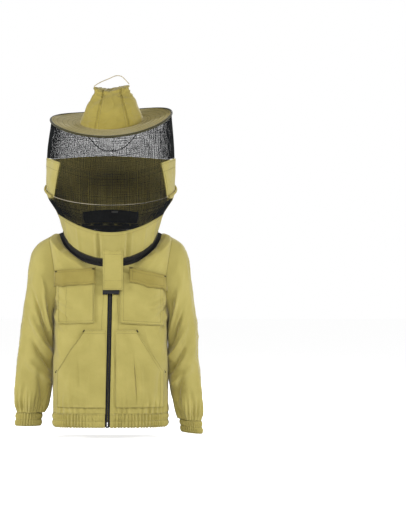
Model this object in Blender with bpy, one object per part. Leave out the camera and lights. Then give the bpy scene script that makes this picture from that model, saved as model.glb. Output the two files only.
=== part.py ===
"""Beekeeping jacket with a round veil hat, as separate sewn and fitted pieces.

Metres, +Z up. The front faces -Y and the wearer's left is +X. The origin is the centre of the
hem opening. Cloth pieces are plain closed shells; zips, tabs, hoop and hat have their real form.
"""

import math

import bmesh
import bpy
import numpy as np
from mathutils import Matrix, Vector

# Driving dimensions.
GAP = 0.0006  # between neighbouring pieces
PAD_LIFT = 0.0032  # under the pockets, clear of the front's facets
FLAP_LIFT = 0.0066
FLAP_HINGE_LIFT = 0.0160
CLOTH = 0.0018  # jacket shell
VEIL_CLOTH = 0.0014
NET = 0.0010
HEM_HEIGHT = 0.041
SQUARENESS = 2.8  # exponent of the torso's rounded outline

ZIP_LEAN = 0.020  # sideways run of the front zip per metre of height
ZIP_TOP_X = -0.0005
ZIP_TOP_Z = 0.468
ZIP_FACE_Y = -0.1220
ZIP_OPENING = 0.0064  # half the slot between the two front edges
TOOTH_PITCH = 0.0070
TOOTH_GAP = 0.0005  # half the slot between the two tooth rows

NECK_RADIUS = 0.1455
NECK_CENTRE = Vector((0.0, 0.0, 0.600))
NECK_TILT = math.radians(43)  # the front half dips forward
NECK_BACK_DEPTH = 0.100
NECK_BACK_RISE = 0.012
TAPE_WIDTH = 0.0107
TAPE_THICKNESS = 0.0012

HOOP_RADIUS = 0.2000
HOOP_CENTRE_Z = 0.734
HOOP_TILT = math.radians(17.6)
HOOP_WIRE = 0.0022

HAT_CENTRE = Vector((0.0030, 0.0, 0.938))
HAT_TILT = math.radians(16.5)
HAT_ROLL = math.radians(4.0)
BRIM_HALF_WIDTH = 0.1900
BRIM_HALF_LENGTH = 0.2020
BRIM_SADDLE = 0.025  # how far the brim's sides curl up
BRIM_THICKNESS = 0.0030
CROWN_RADIUS = 0.1000

SHOULDER_PIVOT = Vector((0.1900, 0.0, 0.5790))

# Torso rings: half width, front depth, back depth, then the height at side, front and back.
TORSO_RINGS = [
    (0.176, 0.122, 0.120, HEM_HEIGHT + GAP, HEM_HEIGHT + GAP, HEM_HEIGHT + GAP),
    (0.179, 0.122, 0.126, 0.140, 0.140, 0.140),
    (0.177, 0.122, 0.126, 0.270, 0.270, 0.270),
    (0.179, 0.122, 0.122, 0.360, 0.350, 0.370),
    (0.187, 0.122, 0.116, 0.470, 0.420, 0.470),
    (0.190, 0.117, 0.108, 0.562, 0.470, 0.560),
]
TORSO_STOPS = [0.0, 0.18, 0.42, 0.58, 0.78, 0.93, 1.0]
ARMHOLE_BOTTOM = 0.56
ARMHOLE_TOP = 0.95
ARMHOLE_ANGLE = 30.0

# Veil rings above the neck, in the torso rings' form.
VEIL_LOW_RING = (0.164, 0.162, 0.150, 0.655, 0.594, 0.690)
VEIL_BAND_RING = (0.199, 0.200, 0.203, 0.830, 0.772, 0.852)
VEIL_STOPS = [0.0, 0.24, 0.47, 0.66, 1.0]
LOW_STOP = 0.24
HOOP_STOP = 0.47
BAND_STOP = 0.66
STOP_GAP = 0.004  # the same as GAP or more, along the veil's height
VEIL_START = 0.0030  # clear of the tape's facets where it twists at the sides

# Sleeve rings: outer x and z, inner x and z, half depth, inward tuck of the front and back.
SLEEVE_LEFT = [
    (0.1945, 0.5740, 0.1945, 0.350, 0.072, 0.014),
    (0.2230, 0.5640, 0.1920, 0.325, 0.078, 0.006),
    (0.2440, 0.5240, 0.1880, 0.305, 0.078, 0.000),
    (0.2540, 0.4600, 0.1850, 0.285, 0.073, 0.000),
    (0.2610, 0.3900, 0.1840, 0.260, 0.068, 0.000),
    (0.2680, 0.3130, 0.1840, 0.225, 0.063, 0.000),
    (0.2760, 0.2200, 0.1850, 0.175, 0.060, 0.000),
    (0.2830, 0.1300, 0.1900, 0.125, 0.056, 0.000),
    (0.2860, 0.0550, 0.2040, 0.060, 0.051, 0.000),
    (0.2810, 0.0150, 0.2160, 0.022, 0.040, 0.000),
]
SLEEVE_RIGHT = [
    (0.1945, 0.5740, 0.1945, 0.350, 0.072, 0.014),
    (0.2240, 0.5640, 0.1920, 0.325, 0.078, 0.006),
    (0.2460, 0.5280, 0.1880, 0.305, 0.078, 0.000),
    (0.2590, 0.4700, 0.1850, 0.285, 0.074, 0.000),
    (0.2660, 0.4000, 0.1840, 0.260, 0.068, 0.000),
    (0.2760, 0.3100, 0.1840, 0.225, 0.064, 0.000),
    (0.2870, 0.2200, 0.1850, 0.175, 0.061, 0.000),
    (0.2960, 0.1400, 0.1880, 0.125, 0.057, 0.000),
    (0.2980, 0.0800, 0.1980, 0.075, 0.052, 0.000),
    (0.2900, 0.0420, 0.2120, 0.042, 0.040, 0.000),
]
CUFF_LENGTH = 0.041

KHAKI = (0.46, 0.40, 0.13)
BLACK = (0.018, 0.018, 0.022)
SILVER = (0.70, 0.70, 0.70)
BEIGE = (0.62, 0.55, 0.38)
OLIVE = (0.06, 0.055, 0.02)
GREY = (0.45, 0.45, 0.45)


def clear_scene():
    for item in list(bpy.data.objects):
        bpy.data.objects.remove(item, do_unlink=True)


def material(name, colour, roughness, metallic=0.0):
    made = bpy.data.materials.new(name)
    made.use_nodes = True
    shader = made.node_tree.nodes["Principled BSDF"]
    shader.inputs["Base Color"].default_value = (*colour, 1.0)
    shader.inputs["Roughness"].default_value = roughness
    shader.inputs["Metallic"].default_value = metallic
    return made


def add_object(name, mesh, colour, roughness=0.9, metallic=0.0):
    made = bpy.data.objects.new(name, mesh)
    bpy.context.scene.collection.objects.link(made)
    mesh.materials.append(material(name + "_finish", colour, roughness, metallic))
    mesh.shade_smooth()
    mesh.set_sharp_from_angle(angle=math.radians(40))
    return made


def mesh_of(name, points, faces):
    mesh = bpy.data.meshes.new(name)
    mesh.from_pydata([tuple(p) for p in points], [], faces)
    mesh.update()
    return mesh


def set_origin(item, place):
    """Moves an object's origin and leaves its surface where it is."""
    item.data.transform(Matrix.Translation(-Vector(place)))
    item.location = place


def sheet(name, rows, thickness, colour, closed=False, roughness=0.9):
    """A closed shell under a grid of outer points. Rows run up, columns run round from +X to +Y."""
    count = len(rows[0])
    faces = []
    for i in range(len(rows) - 1):
        for j in range(count if closed else count - 1):
            k = (j + 1) % count
            faces.append((i * count + j, i * count + k, (i + 1) * count + k, (i + 1) * count + j))
    mesh = mesh_of(name, [p for row in rows for p in row], faces)
    made = add_object(name, mesh, colour, roughness)
    shell = made.modifiers.new("thickness", "SOLIDIFY")
    shell.thickness = thickness
    shell.offset = -1
    return made


def box(name, size, place, colour, turn=None, bevel=0.0, roughness=0.9, metallic=0.0):
    bm = bmesh.new()
    bmesh.ops.create_cube(bm, size=1.0)
    bmesh.ops.scale(bm, vec=size, verts=bm.verts)
    if bevel:
        bmesh.ops.bevel(bm, geom=bm.edges, offset=bevel, segments=2, profile=0.5, affect="EDGES")
    mesh = bpy.data.meshes.new(name)
    bm.to_mesh(mesh)
    bm.free()
    made = add_object(name, mesh, colour, roughness, metallic)
    made.location = place
    if turn is not None:
        made.rotation_euler = turn.to_euler()
    return made


def prism(name, outline, depth, colour, roughness=0.9, metallic=0.0):
    """An outline in X and Z, counter-clockwise from the front, drawn back along +Y by depth."""
    count = len(outline)
    points = [(x, 0.0, z) for x, z in outline] + [(x, depth, z) for x, z in outline]
    faces = [tuple(range(count)), tuple(reversed(range(count, 2 * count)))]
    for i in range(count):
        k = (i + 1) % count
        faces.append((k, i, i + count, k + count))
    return add_object(name, mesh_of(name, points, faces), colour, roughness, metallic)


def cord(name, route, radius, colour, count=60):
    """A round tube along a smooth curve through the route's points."""
    points = smooth_route(route, count)
    curve = bpy.data.curves.new(name, "CURVE")
    curve.dimensions = "3D"
    curve.bevel_depth = radius
    curve.bevel_resolution = 2
    curve.use_fill_caps = True
    spline = curve.splines.new("POLY")
    spline.points.add(len(points) - 1)
    for knot, point in zip(spline.points, points):
        knot.co = (*point, 1.0)
    made = bpy.data.objects.new(name, curve)
    bpy.context.scene.collection.objects.link(made)
    curve.materials.append(material(name + "_finish", colour, 0.8))
    return made


def level_slopes(stops, values):
    """Slopes at the stops that never carry the curve past a high or a low point."""
    widths = np.diff(stops)
    if values.ndim == 2:
        widths = widths[:, None]
    rises = np.diff(values, axis=0) / widths
    slopes = np.zeros_like(values)
    slopes[0], slopes[-1] = rises[0], rises[-1]
    product = rises[:-1] * rises[1:]
    total = rises[:-1] + rises[1:]
    safe = np.where(product > 0, total, 1.0)
    slopes[1:-1] = np.where(product > 0, 2 * product / safe, 0.0)
    return slopes


def through(stops, values, t):
    """A smooth curve through values at stops, read at t."""
    stops = np.asarray(stops, float)
    values = np.asarray(values, float)
    i = int(np.clip(np.searchsorted(stops, t) - 1, 0, len(stops) - 2))
    slopes = level_slopes(stops, values)
    width = stops[i + 1] - stops[i]
    f = (t - stops[i]) / width
    h1 = 2 * f**3 - 3 * f**2 + 1
    h2 = f**3 - 2 * f**2 + f
    h3 = 3 * f**2 - 2 * f**3
    h4 = f**3 - f**2
    return (
        h1 * values[i] + h2 * width * slopes[i] + h3 * values[i + 1] + h4 * width * slopes[i + 1]
    )


def smooth_route(route, count):
    """Evenly spaced points on a smooth curve through the route."""
    route = [Vector(p) for p in route]
    stops = [0.0]
    for a, b in zip(route, route[1:]):
        stops.append(stops[-1] + (b - a).length)
    return [Vector(through(stops, route, t)) for t in np.linspace(0, stops[-1], count)]


def smoothstep(low, high, value):
    f = min(max((value - low) / (high - low), 0.0), 1.0)
    return f * f * (3 - 2 * f)


def ring_point(ring, angle, squareness=2.0):
    """A point on a ring at an angle in degrees: 0 is +X, 90 the back and -90 the front."""
    half_width, front, back, z_side, z_front, z_back = ring
    c = math.cos(math.radians(angle))
    s = math.sin(math.radians(angle))
    power = 2 / squareness
    depth = back if s > 0 else front
    x = half_width * math.copysign(abs(c) ** power, c)
    y = depth * math.copysign(abs(s) ** power, s)
    z = z_side * c * c + (z_back if s > 0 else z_front) * s * s
    return Vector((x, y, z))


def neck_point(angle):
    """The neck zip's line: a tilted circle round the front, a flatter ellipse round the back."""
    c = math.cos(math.radians(angle))
    s = math.sin(math.radians(angle))
    x = NECK_RADIUS * c
    if s <= 0:
        y = NECK_RADIUS * s * math.cos(NECK_TILT)
        z = NECK_RADIUS * s * math.sin(NECK_TILT)
    else:
        y = NECK_BACK_DEPTH * s
        z = NECK_BACK_RISE * s
    return NECK_CENTRE + Vector((x, y, z))


def neck_up(angle):
    """The direction across the neck tape. It stays square to the front circle's plane."""
    front = Vector((0.0, -math.sin(NECK_TILT), math.cos(NECK_TILT)))
    s = math.sin(math.radians(angle))
    back_share = smoothstep(-0.02, 0.75, s)
    return front.lerp(Vector((0.0, 0.05, 1.0)), back_share).normalized()


def hoop_point(angle, radius=HOOP_RADIUS):
    c = math.cos(math.radians(angle))
    s = math.sin(math.radians(angle))
    y = radius * s * math.cos(HOOP_TILT)
    z = HOOP_CENTRE_Z + radius * s * math.sin(HOOP_TILT)
    return Vector((radius * c, y, z))


def hat_frame():
    turn = Matrix.Rotation(-HAT_ROLL, 4, "Y") @ Matrix.Rotation(HAT_TILT, 4, "X")
    return Matrix.Translation(HAT_CENTRE) @ turn


def brim_local(angle, scale=1.0, lift=0.0):
    """A point of the brim in the hat's own frame: scale 1 is its edge."""
    c = math.cos(math.radians(angle))
    s = math.sin(math.radians(angle))
    x = BRIM_HALF_WIDTH * c * scale
    y = BRIM_HALF_LENGTH * s * scale
    return Vector((x, y, BRIM_SADDLE * (c * scale) ** 2 + lift))


def torso_point(angle, t):
    top = neck_point(angle) - neck_up(angle) * (TAPE_WIDTH + 2 * GAP)
    rings = [ring_point(ring, angle, SQUARENESS) for ring in TORSO_RINGS] + [top]
    return Vector(through(TORSO_STOPS, rings, t))


def veil_point(angle, s):
    low = neck_point(angle) + neck_up(angle) * (TAPE_WIDTH + VEIL_START)
    brim = hat_frame() @ brim_local(angle, 0.985, -BRIM_THICKNESS - 0.0015)
    rings = [
        low,
        ring_point(VEIL_LOW_RING, angle),
        hoop_point(angle),
        ring_point(VEIL_BAND_RING, angle),
        brim,
    ]
    return Vector(through(VEIL_STOPS, rings, s))


def zip_x(z):
    return ZIP_TOP_X - (ZIP_TOP_Z - z) * ZIP_LEAN


def angle_at(x, t):
    """The front angle at which the torso's ring at t reaches x."""
    low, high = -179.9, -0.1
    for _ in range(20):
        middle = (low + high) / 2
        if torso_point(middle, t).x < x:
            low = middle
        else:
            high = middle
    return low


def on_front(x, z, lift):
    """The point that is lift in front of the jacket's front at x and z."""
    low, high = 0.0, 1.0
    for _ in range(13):
        middle = (low + high) / 2
        if torso_point(angle_at(x, middle), middle).z < z:
            low = middle
        else:
            high = middle
    angle = angle_at(x, low)
    here = torso_point(angle, low)
    along = torso_point(angle + 1, low) - torso_point(angle - 1, low)
    up = torso_point(angle, min(low + 0.02, 1)) - torso_point(angle, max(low - 0.02, 0))
    return here + along.cross(up).normalized() * lift


def armhole(t):
    """Half the angle of the armhole's opening at height t."""
    if not ARMHOLE_BOTTOM < t < ARMHOLE_TOP:
        return 0.0
    f = (t - ARMHOLE_BOTTOM) / (ARMHOLE_TOP - ARMHOLE_BOTTOM)
    return ARMHOLE_ANGLE * math.sin(math.pi * f) ** 0.6


SEAM = 0.35  # half the gap at a side seam, in degrees


def front_panel(name, side):
    """side is 1 for the wearer's left and -1 for the right."""
    rows = []
    for t in np.linspace(0, 1, 15):
        height = torso_point(-90, t).z
        start = angle_at(zip_x(height) + side * ZIP_OPENING, t)
        end = -SEAM - armhole(t) if side > 0 else -180 + SEAM + armhole(t)
        angles = np.linspace(start, end, 11)
        if side < 0:
            angles = angles[::-1]
        rows.append([torso_point(a, t) for a in angles])
    return sheet(name, rows, CLOTH, KHAKI)


def back_panel():
    rows = []
    for t in np.linspace(0, 1, 15):
        edge = SEAM + armhole(t)
        rows.append([torso_point(a, t) for a in np.linspace(edge, 180 - edge, 19)])
    return sheet("back_panel", rows, CLOTH, KHAKI)


def hem_point(angle, z):
    ring = (*TORSO_RINGS[0][:3], z, z, z)
    return ring_point(ring, angle, SQUARENESS)


def hem_band(name, start, end):
    angles = np.linspace(start, end, 17)
    rows = [[hem_point(a, z) for a in angles] for z in (0.0, HEM_HEIGHT / 2, HEM_HEIGHT)]
    return sheet(name, rows, 0.0030, KHAKI)


def hem_bands():
    left_edge = angle_at(zip_x(0) + ZIP_OPENING + 0.0005, 0)
    right_edge = angle_at(zip_x(0) - ZIP_OPENING - 0.0005, 0)
    hem_band("hem_band_left", left_edge, -SEAM)
    hem_band("hem_band_right", -180 + SEAM, right_edge)
    hem_band("hem_band_back", SEAM, 180 - SEAM)


def sleeve_ring(ring, side, angle, grow=0.0):
    """angle runs from the outer edge over the back."""
    outer_x, outer_z, inner_x, inner_z, depth, tuck = ring
    c = math.cos(math.radians(angle))
    s = math.sin(math.radians(angle))
    x = (outer_x + inner_x) / 2 + c * (outer_x - inner_x) / 2 * (1 + grow)
    z = (outer_z + inner_z) / 2 + c * (outer_z - inner_z) / 2
    return Vector((side * (x - tuck * s * s), s * depth * (1 + grow), z))


def sleeve(side, word, rings):
    stops = list(range(len(rings)))
    rows = []
    for t in np.linspace(stops[-1], 0, 14):
        ring = through(stops, rings, t)
        rows.append([sleeve_ring(ring, side, a * side) for a in np.arange(0, 360, 18)])
    made = sheet("sleeve_" + word, rows, CLOTH, KHAKI, closed=True)
    set_origin(made, (side * SHOULDER_PIVOT.x, 0, SHOULDER_PIVOT.z))
    return made


def cuff(side, word, rings):
    """An elastic band that carries on down from the sleeve's last ring."""
    last = np.array(rings[-1])
    before = np.array(rings[-2])
    along = (last[:4] - before[:4]).reshape(2, 2).mean(axis=0)
    along = along / np.linalg.norm(along)
    rows = []
    for f in (1.0, 0.5, 0.0):
        ring = last.copy()
        step = along * (GAP * 1.5 + f * CUFF_LENGTH)
        ring[0] += step[0]
        ring[2] += step[0]
        ring[1] += step[1]
        ring[3] += step[1]
        rows.append([sleeve_ring(ring, side, a * side, -0.02) for a in np.arange(0, 360, 18)])
    made = sheet("cuff_" + word, rows, 0.0030, KHAKI, closed=True)
    set_origin(made, (side * SHOULDER_PIVOT.x, 0, SHOULDER_PIVOT.z))
    return made


def neck_tape(name, start, end, low, high):
    """A stretch of the neck zip between two heights across the tape."""
    steps = max(3, int(abs(end - start) / 5))
    rows = []
    for f in (low, high):
        rows.append(
            [neck_point(a) + neck_up(a) * f for a in np.linspace(start, end, steps + 1)]
        )
    return sheet(name, rows, TAPE_THICKNESS, BLACK, roughness=0.7)


def neck_zip():
    for word, start, end in (("left", -89.6, -0.4), ("right", -179.6, -90.4)):
        neck_tape("neck_tape_lower_" + word, start, end, -TAPE_WIDTH, -GAP / 2)
        neck_tape("neck_tape_upper_" + word, start, end, GAP / 2, TAPE_WIDTH)
    neck_tape("neck_tape_lower_back", 0.4, 179.6, -TAPE_WIDTH, -GAP / 2)
    neck_tape("neck_tape_upper_back", 0.4, 179.6, GAP / 2, TAPE_WIDTH)


def pull_outline(length, wide, narrow):
    """A zip pull seen from the front, hanging from the origin, counter-clockwise."""
    points = []
    for k in range(7):
        a = math.pi + math.pi * k / 6
        points.append((wide * math.cos(a), -length + wide + wide * math.sin(a)))
    for k in range(7):
        a = math.pi * k / 6
        points.append((narrow * math.cos(a), -narrow + narrow * math.sin(a)))
    return points


def neck_slider(side, word):
    """A slider on the tape's outer face. It turns about the front circle's axis."""
    angle = -90 + side * 4.5
    here = neck_point(angle)
    radial = (here - NECK_CENTRE).normalized()
    up = neck_up(angle)
    along = radial.cross(up)
    turn = Matrix((along, radial, up)).transposed()
    place = here + radial * (0.0005 + 0.0021)
    body = box("neck_slider_" + word, (0.0115, 0.0042, 0.0080), place, BLACK, turn, 0.0011, 0.5)
    axis_point = NECK_CENTRE.copy()
    body.data.transform(Matrix.Translation(place) @ turn.to_4x4())
    body.location = (0, 0, 0)
    body.rotation_euler = (0, 0, 0)
    set_origin(body, axis_point)
    return body


def zip_place(z, x_offset=0.0, y=ZIP_FACE_Y):
    return Vector((zip_x(z) + x_offset, y, z))


def comb_outline(side, start, end):
    """A row of zip teeth seen from the front: a bar with a tooth at every pitch."""
    root = 0.0021
    bar = 0.0034
    tip = TOOTH_GAP
    points = []
    z = start
    while z + TOOTH_PITCH < end:
        points.append((zip_x(z) + side * root, z))
        points.append((zip_x(z) + side * root, z + TOOTH_PITCH * 0.40))
        points.append((zip_x(z) + side * tip, z + TOOTH_PITCH * 0.48))
        points.append((zip_x(z) + side * tip, z + TOOTH_PITCH * 0.92))
        z += TOOTH_PITCH
    points.append((zip_x(z) + side * root, z))
    points.append((zip_x(z) + side * bar, z))
    points.append((zip_x(start) + side * bar, start))
    return points if side < 0 else points[::-1]


def front_zip():
    for side, word in ((1, "left"), (-1, "right")):
        outline = comb_outline(side, 0.006, ZIP_TOP_Z)
        teeth = prism("zip_teeth_" + word, outline, 0.0024, BLACK, 0.5)
        teeth.location.y = ZIP_FACE_Y - 0.0002
        low, high = 0.002, ZIP_TOP_Z - 0.024
        tape = [
            (zip_x(low) + side * 0.0024, low),
            (zip_x(high) + side * 0.0024, high),
            (zip_x(high) + side * 0.0145, high),
            (zip_x(low) + side * 0.0145, low),
        ]
        tape = prism("zip_tape_" + word, tape if side < 0 else tape[::-1], 0.0008, BLACK, 0.9)
        tape.location.y = ZIP_FACE_Y + 0.0036
    box("zip_bottom_box", (0.0085, 0.0034, 0.0050), zip_place(0.0027), BLACK, None, 0.0008, 0.5)


def block_mesh(name, size, centre):
    bm = bmesh.new()
    bmesh.ops.create_cube(bm, size=1.0)
    bmesh.ops.scale(bm, vec=size, verts=bm.verts)
    bmesh.ops.translate(bm, vec=centre, verts=bm.verts)
    mesh = bpy.data.meshes.new(name)
    bm.to_mesh(mesh)
    bm.free()
    return mesh


# The slider's blocks: size, and centre from the middle of the tooth rows.
SLIDER_FRONT = ((0.0094, 0.0020, 0.0150), (0.0, -0.0020, 0.0))
SLIDER_OTHERS = {
    "slider_web": ((0.0005, 0.0054, 0.0060), (0.0, 0.0006, 0.0030)),
    "slider_back": ((0.0094, 0.0005, 0.0150), (0.0, 0.00325, 0.0)),
    "slider_bail": ((0.0030, 0.0016, 0.0040), (0.0, -0.0032, 0.0035)),
}


def front_slider(z):
    """Two plates joined by a thin web that runs between the tooth rows, and a bail in front."""
    slider = add_object("front_zip_slider", block_mesh("slider", *SLIDER_FRONT), BLACK, 0.4, 0.2)
    slider.location = zip_place(z)
    slider.rotation_euler = (0, math.atan(ZIP_LEAN), 0)
    for name, block in SLIDER_OTHERS.items():
        tool = bpy.data.objects.new(name, block_mesh(name, *block))
        bpy.context.scene.collection.objects.link(tool)
        tool.location = slider.location
        tool.rotation_euler = slider.rotation_euler
        tool.hide_render = True
        tool.display_type = "WIRE"
        union = slider.modifiers.new(name, "BOOLEAN")
        union.operation = "UNION"
        union.object = tool
    return slider


PULL_ANGLE = math.radians(52)  # the pull leans out from under the front tab
PULL_FRONT = 0.0062  # the pull's place in front of the tooth rows


def front_pull(z):
    place = zip_place(z + 0.0005, 0.0, ZIP_FACE_Y - PULL_FRONT)
    pull = prism("front_zip_pull", pull_outline(0.046, 0.0042, 0.0026), 0.0012, SILVER, 0.3, 1.0)
    pull.location = place
    pull.rotation_euler = (0, -PULL_ANGLE, 0)
    return pull


def patch(name, corners, lift, thickness, colour, steps=(7, 5)):
    """A cloth pad on the jacket's front. corners: x from, x to, then z at each end of the
    bottom edge and of the top edge."""
    x0, x1, low0, low1, top0, top1 = corners
    rows = []
    for g in np.linspace(0, 1, steps[1]):
        row = []
        for f in np.linspace(0, 1, steps[0]):
            low = low0 + (low1 - low0) * f
            top = top0 + (top1 - top0) * f
            row.append(on_front(x0 + (x1 - x0) * f, low + (top - low) * g, lift + thickness))
        rows.append(row)
    return sheet(name, rows, thickness, colour)


def chest_pockets():
    patch("chest_pocket_left", (0.046, 0.156, 0.318, 0.312, 0.470, 0.450), PAD_LIFT, 0.0012, KHAKI)
    patch("chest_pocket_right", (-0.156, -0.046, 0.316, 0.318, 0.470, 0.472), PAD_LIFT, 0.0012, KHAKI)


def flap(name, corners):
    """A pocket flap. Its hinge line stands clear of the chest, so that it can lift fully."""
    made = patch(name, corners, FLAP_LIFT, 0.0016, KHAKI, (9, 5))
    x0, x1, _, _, top0, top1 = corners
    middle = on_front(x0, top0, FLAP_HINGE_LIFT) + on_front(x1, top1, FLAP_HINGE_LIFT)
    set_origin(made, middle / 2)
    return made


def chest_flaps():
    flap("chest_flap_left", (0.057, 0.160, 0.443, 0.420, 0.486, 0.466))
    flap("chest_flap_right", (-0.160, -0.046, 0.432, 0.434, 0.480, 0.482))


def hand_pocket(name, side):
    """The pad runs from the zip to the side, with its outer top corner cut by the opening."""
    rows = []
    for z in np.linspace(0.062, 0.297, 9):
        outer = min(0.163, 0.163 - (z - 0.170) * 0.66)
        xs = np.linspace(0.018, outer, 9)
        row = [on_front(side * x, z, PAD_LIFT + 0.0012) for x in xs]
        rows.append(row if side > 0 else row[::-1])
    return sheet(name, rows, 0.0012, KHAKI)


def veil_edge(s):
    """Degrees from the front at which the back cloth's front edge lies."""
    if s > HOOP_STOP:
        return 60 - 10 * (s - HOOP_STOP) / (BAND_STOP - HOOP_STOP)
    return 88 - 28 * smoothstep(LOW_STOP, HOOP_STOP, s)


def veil_sheet(name, low, high, half_angle, thickness, colour, rows_count, columns):
    """A front stretch of the veil wall. half_angle gives each row's half width in degrees."""
    rows = []
    for s in np.linspace(low, high, rows_count):
        half = half_angle(s)
        rows.append([veil_point(-90 + a, s) for a in np.linspace(-half, half, columns)])
    return sheet(name, rows, thickness, colour)


def veil():
    veil_sheet(
        "veil_lower_front", 0.0, LOW_STOP - STOP_GAP, lambda s: 87.4, VEIL_CLOTH, KHAKI, 5, 19
    )
    veil_sheet(
        "veil_net_front",
        LOW_STOP,
        BAND_STOP - STOP_GAP,
        lambda s: veil_edge(s) - 0.5,
        NET,
        BLACK,
        7,
        19,
    )
    rows = []
    levels = [*np.linspace(0.0, LOW_STOP, 4)[:-1], *np.linspace(LOW_STOP, BAND_STOP - STOP_GAP, 7)]
    for s in levels:
        half = 180 - veil_edge(s) - 0.5
        rows.append([veil_point(90 + a, s) for a in np.linspace(-half, half, 29)])
    sheet("veil_back", rows, VEIL_CLOTH, KHAKI)
    rows = []
    for s in np.linspace(BAND_STOP, 0.992, 5):
        rows.append([veil_point(a, s) for a in np.arange(0, 360, 10)])
    sheet("veil_net_upper", rows, NET, BLACK, closed=True)


def hoop():
    """The wire that holds the veil away from the face, outside the net."""
    bm = bmesh.new()
    centre = Matrix.Translation((0, 0, HOOP_CENTRE_Z)) @ Matrix.Rotation(HOOP_TILT, 4, "X")
    radius = HOOP_RADIUS + HOOP_WIRE + 0.0008
    section = bmesh.ops.create_circle(bm, radius=HOOP_WIRE, segments=6)["verts"]
    bmesh.ops.rotate(bm, verts=section, cent=(0, 0, 0), matrix=Matrix.Rotation(math.pi / 2, 3, "X"))
    bmesh.ops.translate(bm, verts=section, vec=(radius, 0, 0))
    bmesh.ops.spin(
        bm,
        geom=bm.edges[:],
        cent=(0, 0, 0),
        axis=(0, 0, 1),
        angle=2 * math.pi,
        steps=48,
        use_merge=True,
    )
    bmesh.ops.remove_doubles(bm, verts=bm.verts, dist=0.00001)
    bmesh.ops.recalc_face_normals(bm, faces=bm.faces)
    mesh = bpy.data.meshes.new("veil_hoop")
    bm.to_mesh(mesh)
    bm.free()
    made = add_object("veil_hoop", mesh, BEIGE, 0.6)
    made.matrix_world = centre
    return made


def in_hat(rows):
    frame = hat_frame()
    return [[frame @ p for p in row] for row in rows]


def brim():
    """A saddle-shaped ring of cloth-covered board, its faces running out to the binding."""
    inner = CROWN_RADIUS / BRIM_HALF_WIDTH
    rows = []
    for f in np.linspace(0.974, inner, 3):
        rows.append([brim_local(a, f) for a in np.arange(0, 360, 10)])
    return sheet("hat_brim", in_hat(rows), BRIM_THICKNESS, KHAKI, closed=True)


def binding():
    """The dark tape folded over the brim's edge, round in section."""
    rows = []
    radius = 0.0021
    middle = 0.988
    for k in range(6):
        turn = math.radians(-150 + 300 * k / 5)
        row = []
        for a in np.arange(0, 360, 10):
            out = brim_local(a, middle, -BRIM_THICKNESS / 2)
            row.append(out + Vector((out.x, out.y, 0)).normalized() * radius * math.cos(turn)
                       + Vector((0, 0, radius * math.sin(turn))))
        rows.append(row)
    return sheet("brim_binding", in_hat(rows), 0.0009, OLIVE, closed=True)


CROWN_RINGS = [
    # half width, half depth, height, lift of the two corners, backward shift
    (0.0985, 0.0985, 0.0000, 0.024 * 0.27, 0.000),
    (0.0950, 0.0930, 0.0300, 0.0060, 0.002),
    (0.0830, 0.0740, 0.0700, 0.0030, 0.008),
    (0.0680, 0.0480, 0.0930, 0.0040, 0.016),
    (0.0590, 0.0300, 0.1030, 0.0080, 0.022),
    (0.0480, 0.0120, 0.1010, 0.0120, 0.024),
]


def crown_point(angle, t):
    half_width, half_depth, height, lift, shift = through(range(len(CROWN_RINGS)), CROWN_RINGS, t)
    c = math.cos(math.radians(angle))
    s = math.sin(math.radians(angle))
    lean = 0.07 * height  # towards the wearer's left
    return Vector((half_width * c + lean, half_depth * s + shift, height + lift * c * c))


def crown():
    """A four-gored bucket, closed by a narrow ridge at the top."""
    rows = []
    for t in np.linspace(0, len(CROWN_RINGS) - 1, 9):
        rows.append([crown_point(a, t) for a in np.arange(0, 360, 15)])
    rows = in_hat(rows)
    count = len(rows[0])
    points = [p for row in rows for p in row]
    faces = []
    for i in range(len(rows) - 1):
        for j in range(count):
            k = (j + 1) % count
            faces.append((i * count + j, i * count + k, (i + 1) * count + k, (i + 1) * count + j))
    last = (len(rows) - 1) * count
    half = count // 2
    for j in range(half - 1):
        faces.append((last + j, last + j + 1, last + count - 1 - j - 0, last + (count - j) % count))
    faces.append((last + half - 1, last + half, last + half + 1))
    made = add_object("hat_crown", mesh_of("hat_crown", points, faces), KHAKI)
    shell = made.modifiers.new("thickness", "SOLIDIFY")
    shell.thickness = VEIL_CLOTH
    shell.offset = -1
    return made


def sweatband():
    rows = []
    for h in (-0.016, 0.0, 0.018):
        row = []
        for a in np.arange(0, 360, 10):
            c = math.cos(math.radians(a))
            s = math.sin(math.radians(a))
            rise = BRIM_SADDLE * (c * 0.5) ** 2
            row.append(Vector((0.0925 * c, 0.0920 * s, h + rise)))
        rows.append(row)
    return sheet("hat_sweatband", in_hat(rows), 0.0012, BLACK, closed=True)


TAB_WIDTH = 0.061
TAB_TOP_Z = 0.541
TAB_FACE_Y = -0.1390
TAB_LEAN = math.radians(2.6)
TAB_LENGTH = 0.122
TAB_THICKNESS = 0.0016
TAB_SHIFT = 0.0070  # the tab is sewn on a little to the wearer's left
HOOK_SIZE = (0.050, 0.0012, 0.027)
HOOK_SHIFT = 0.0010
HOOK_DROP = 0.012  # how far the hook strip shows below the tab
LOOP_PATCH = (0.010, 0.024, 0.405, 0.432)  # inner and outer edge, bottom and top


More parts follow.
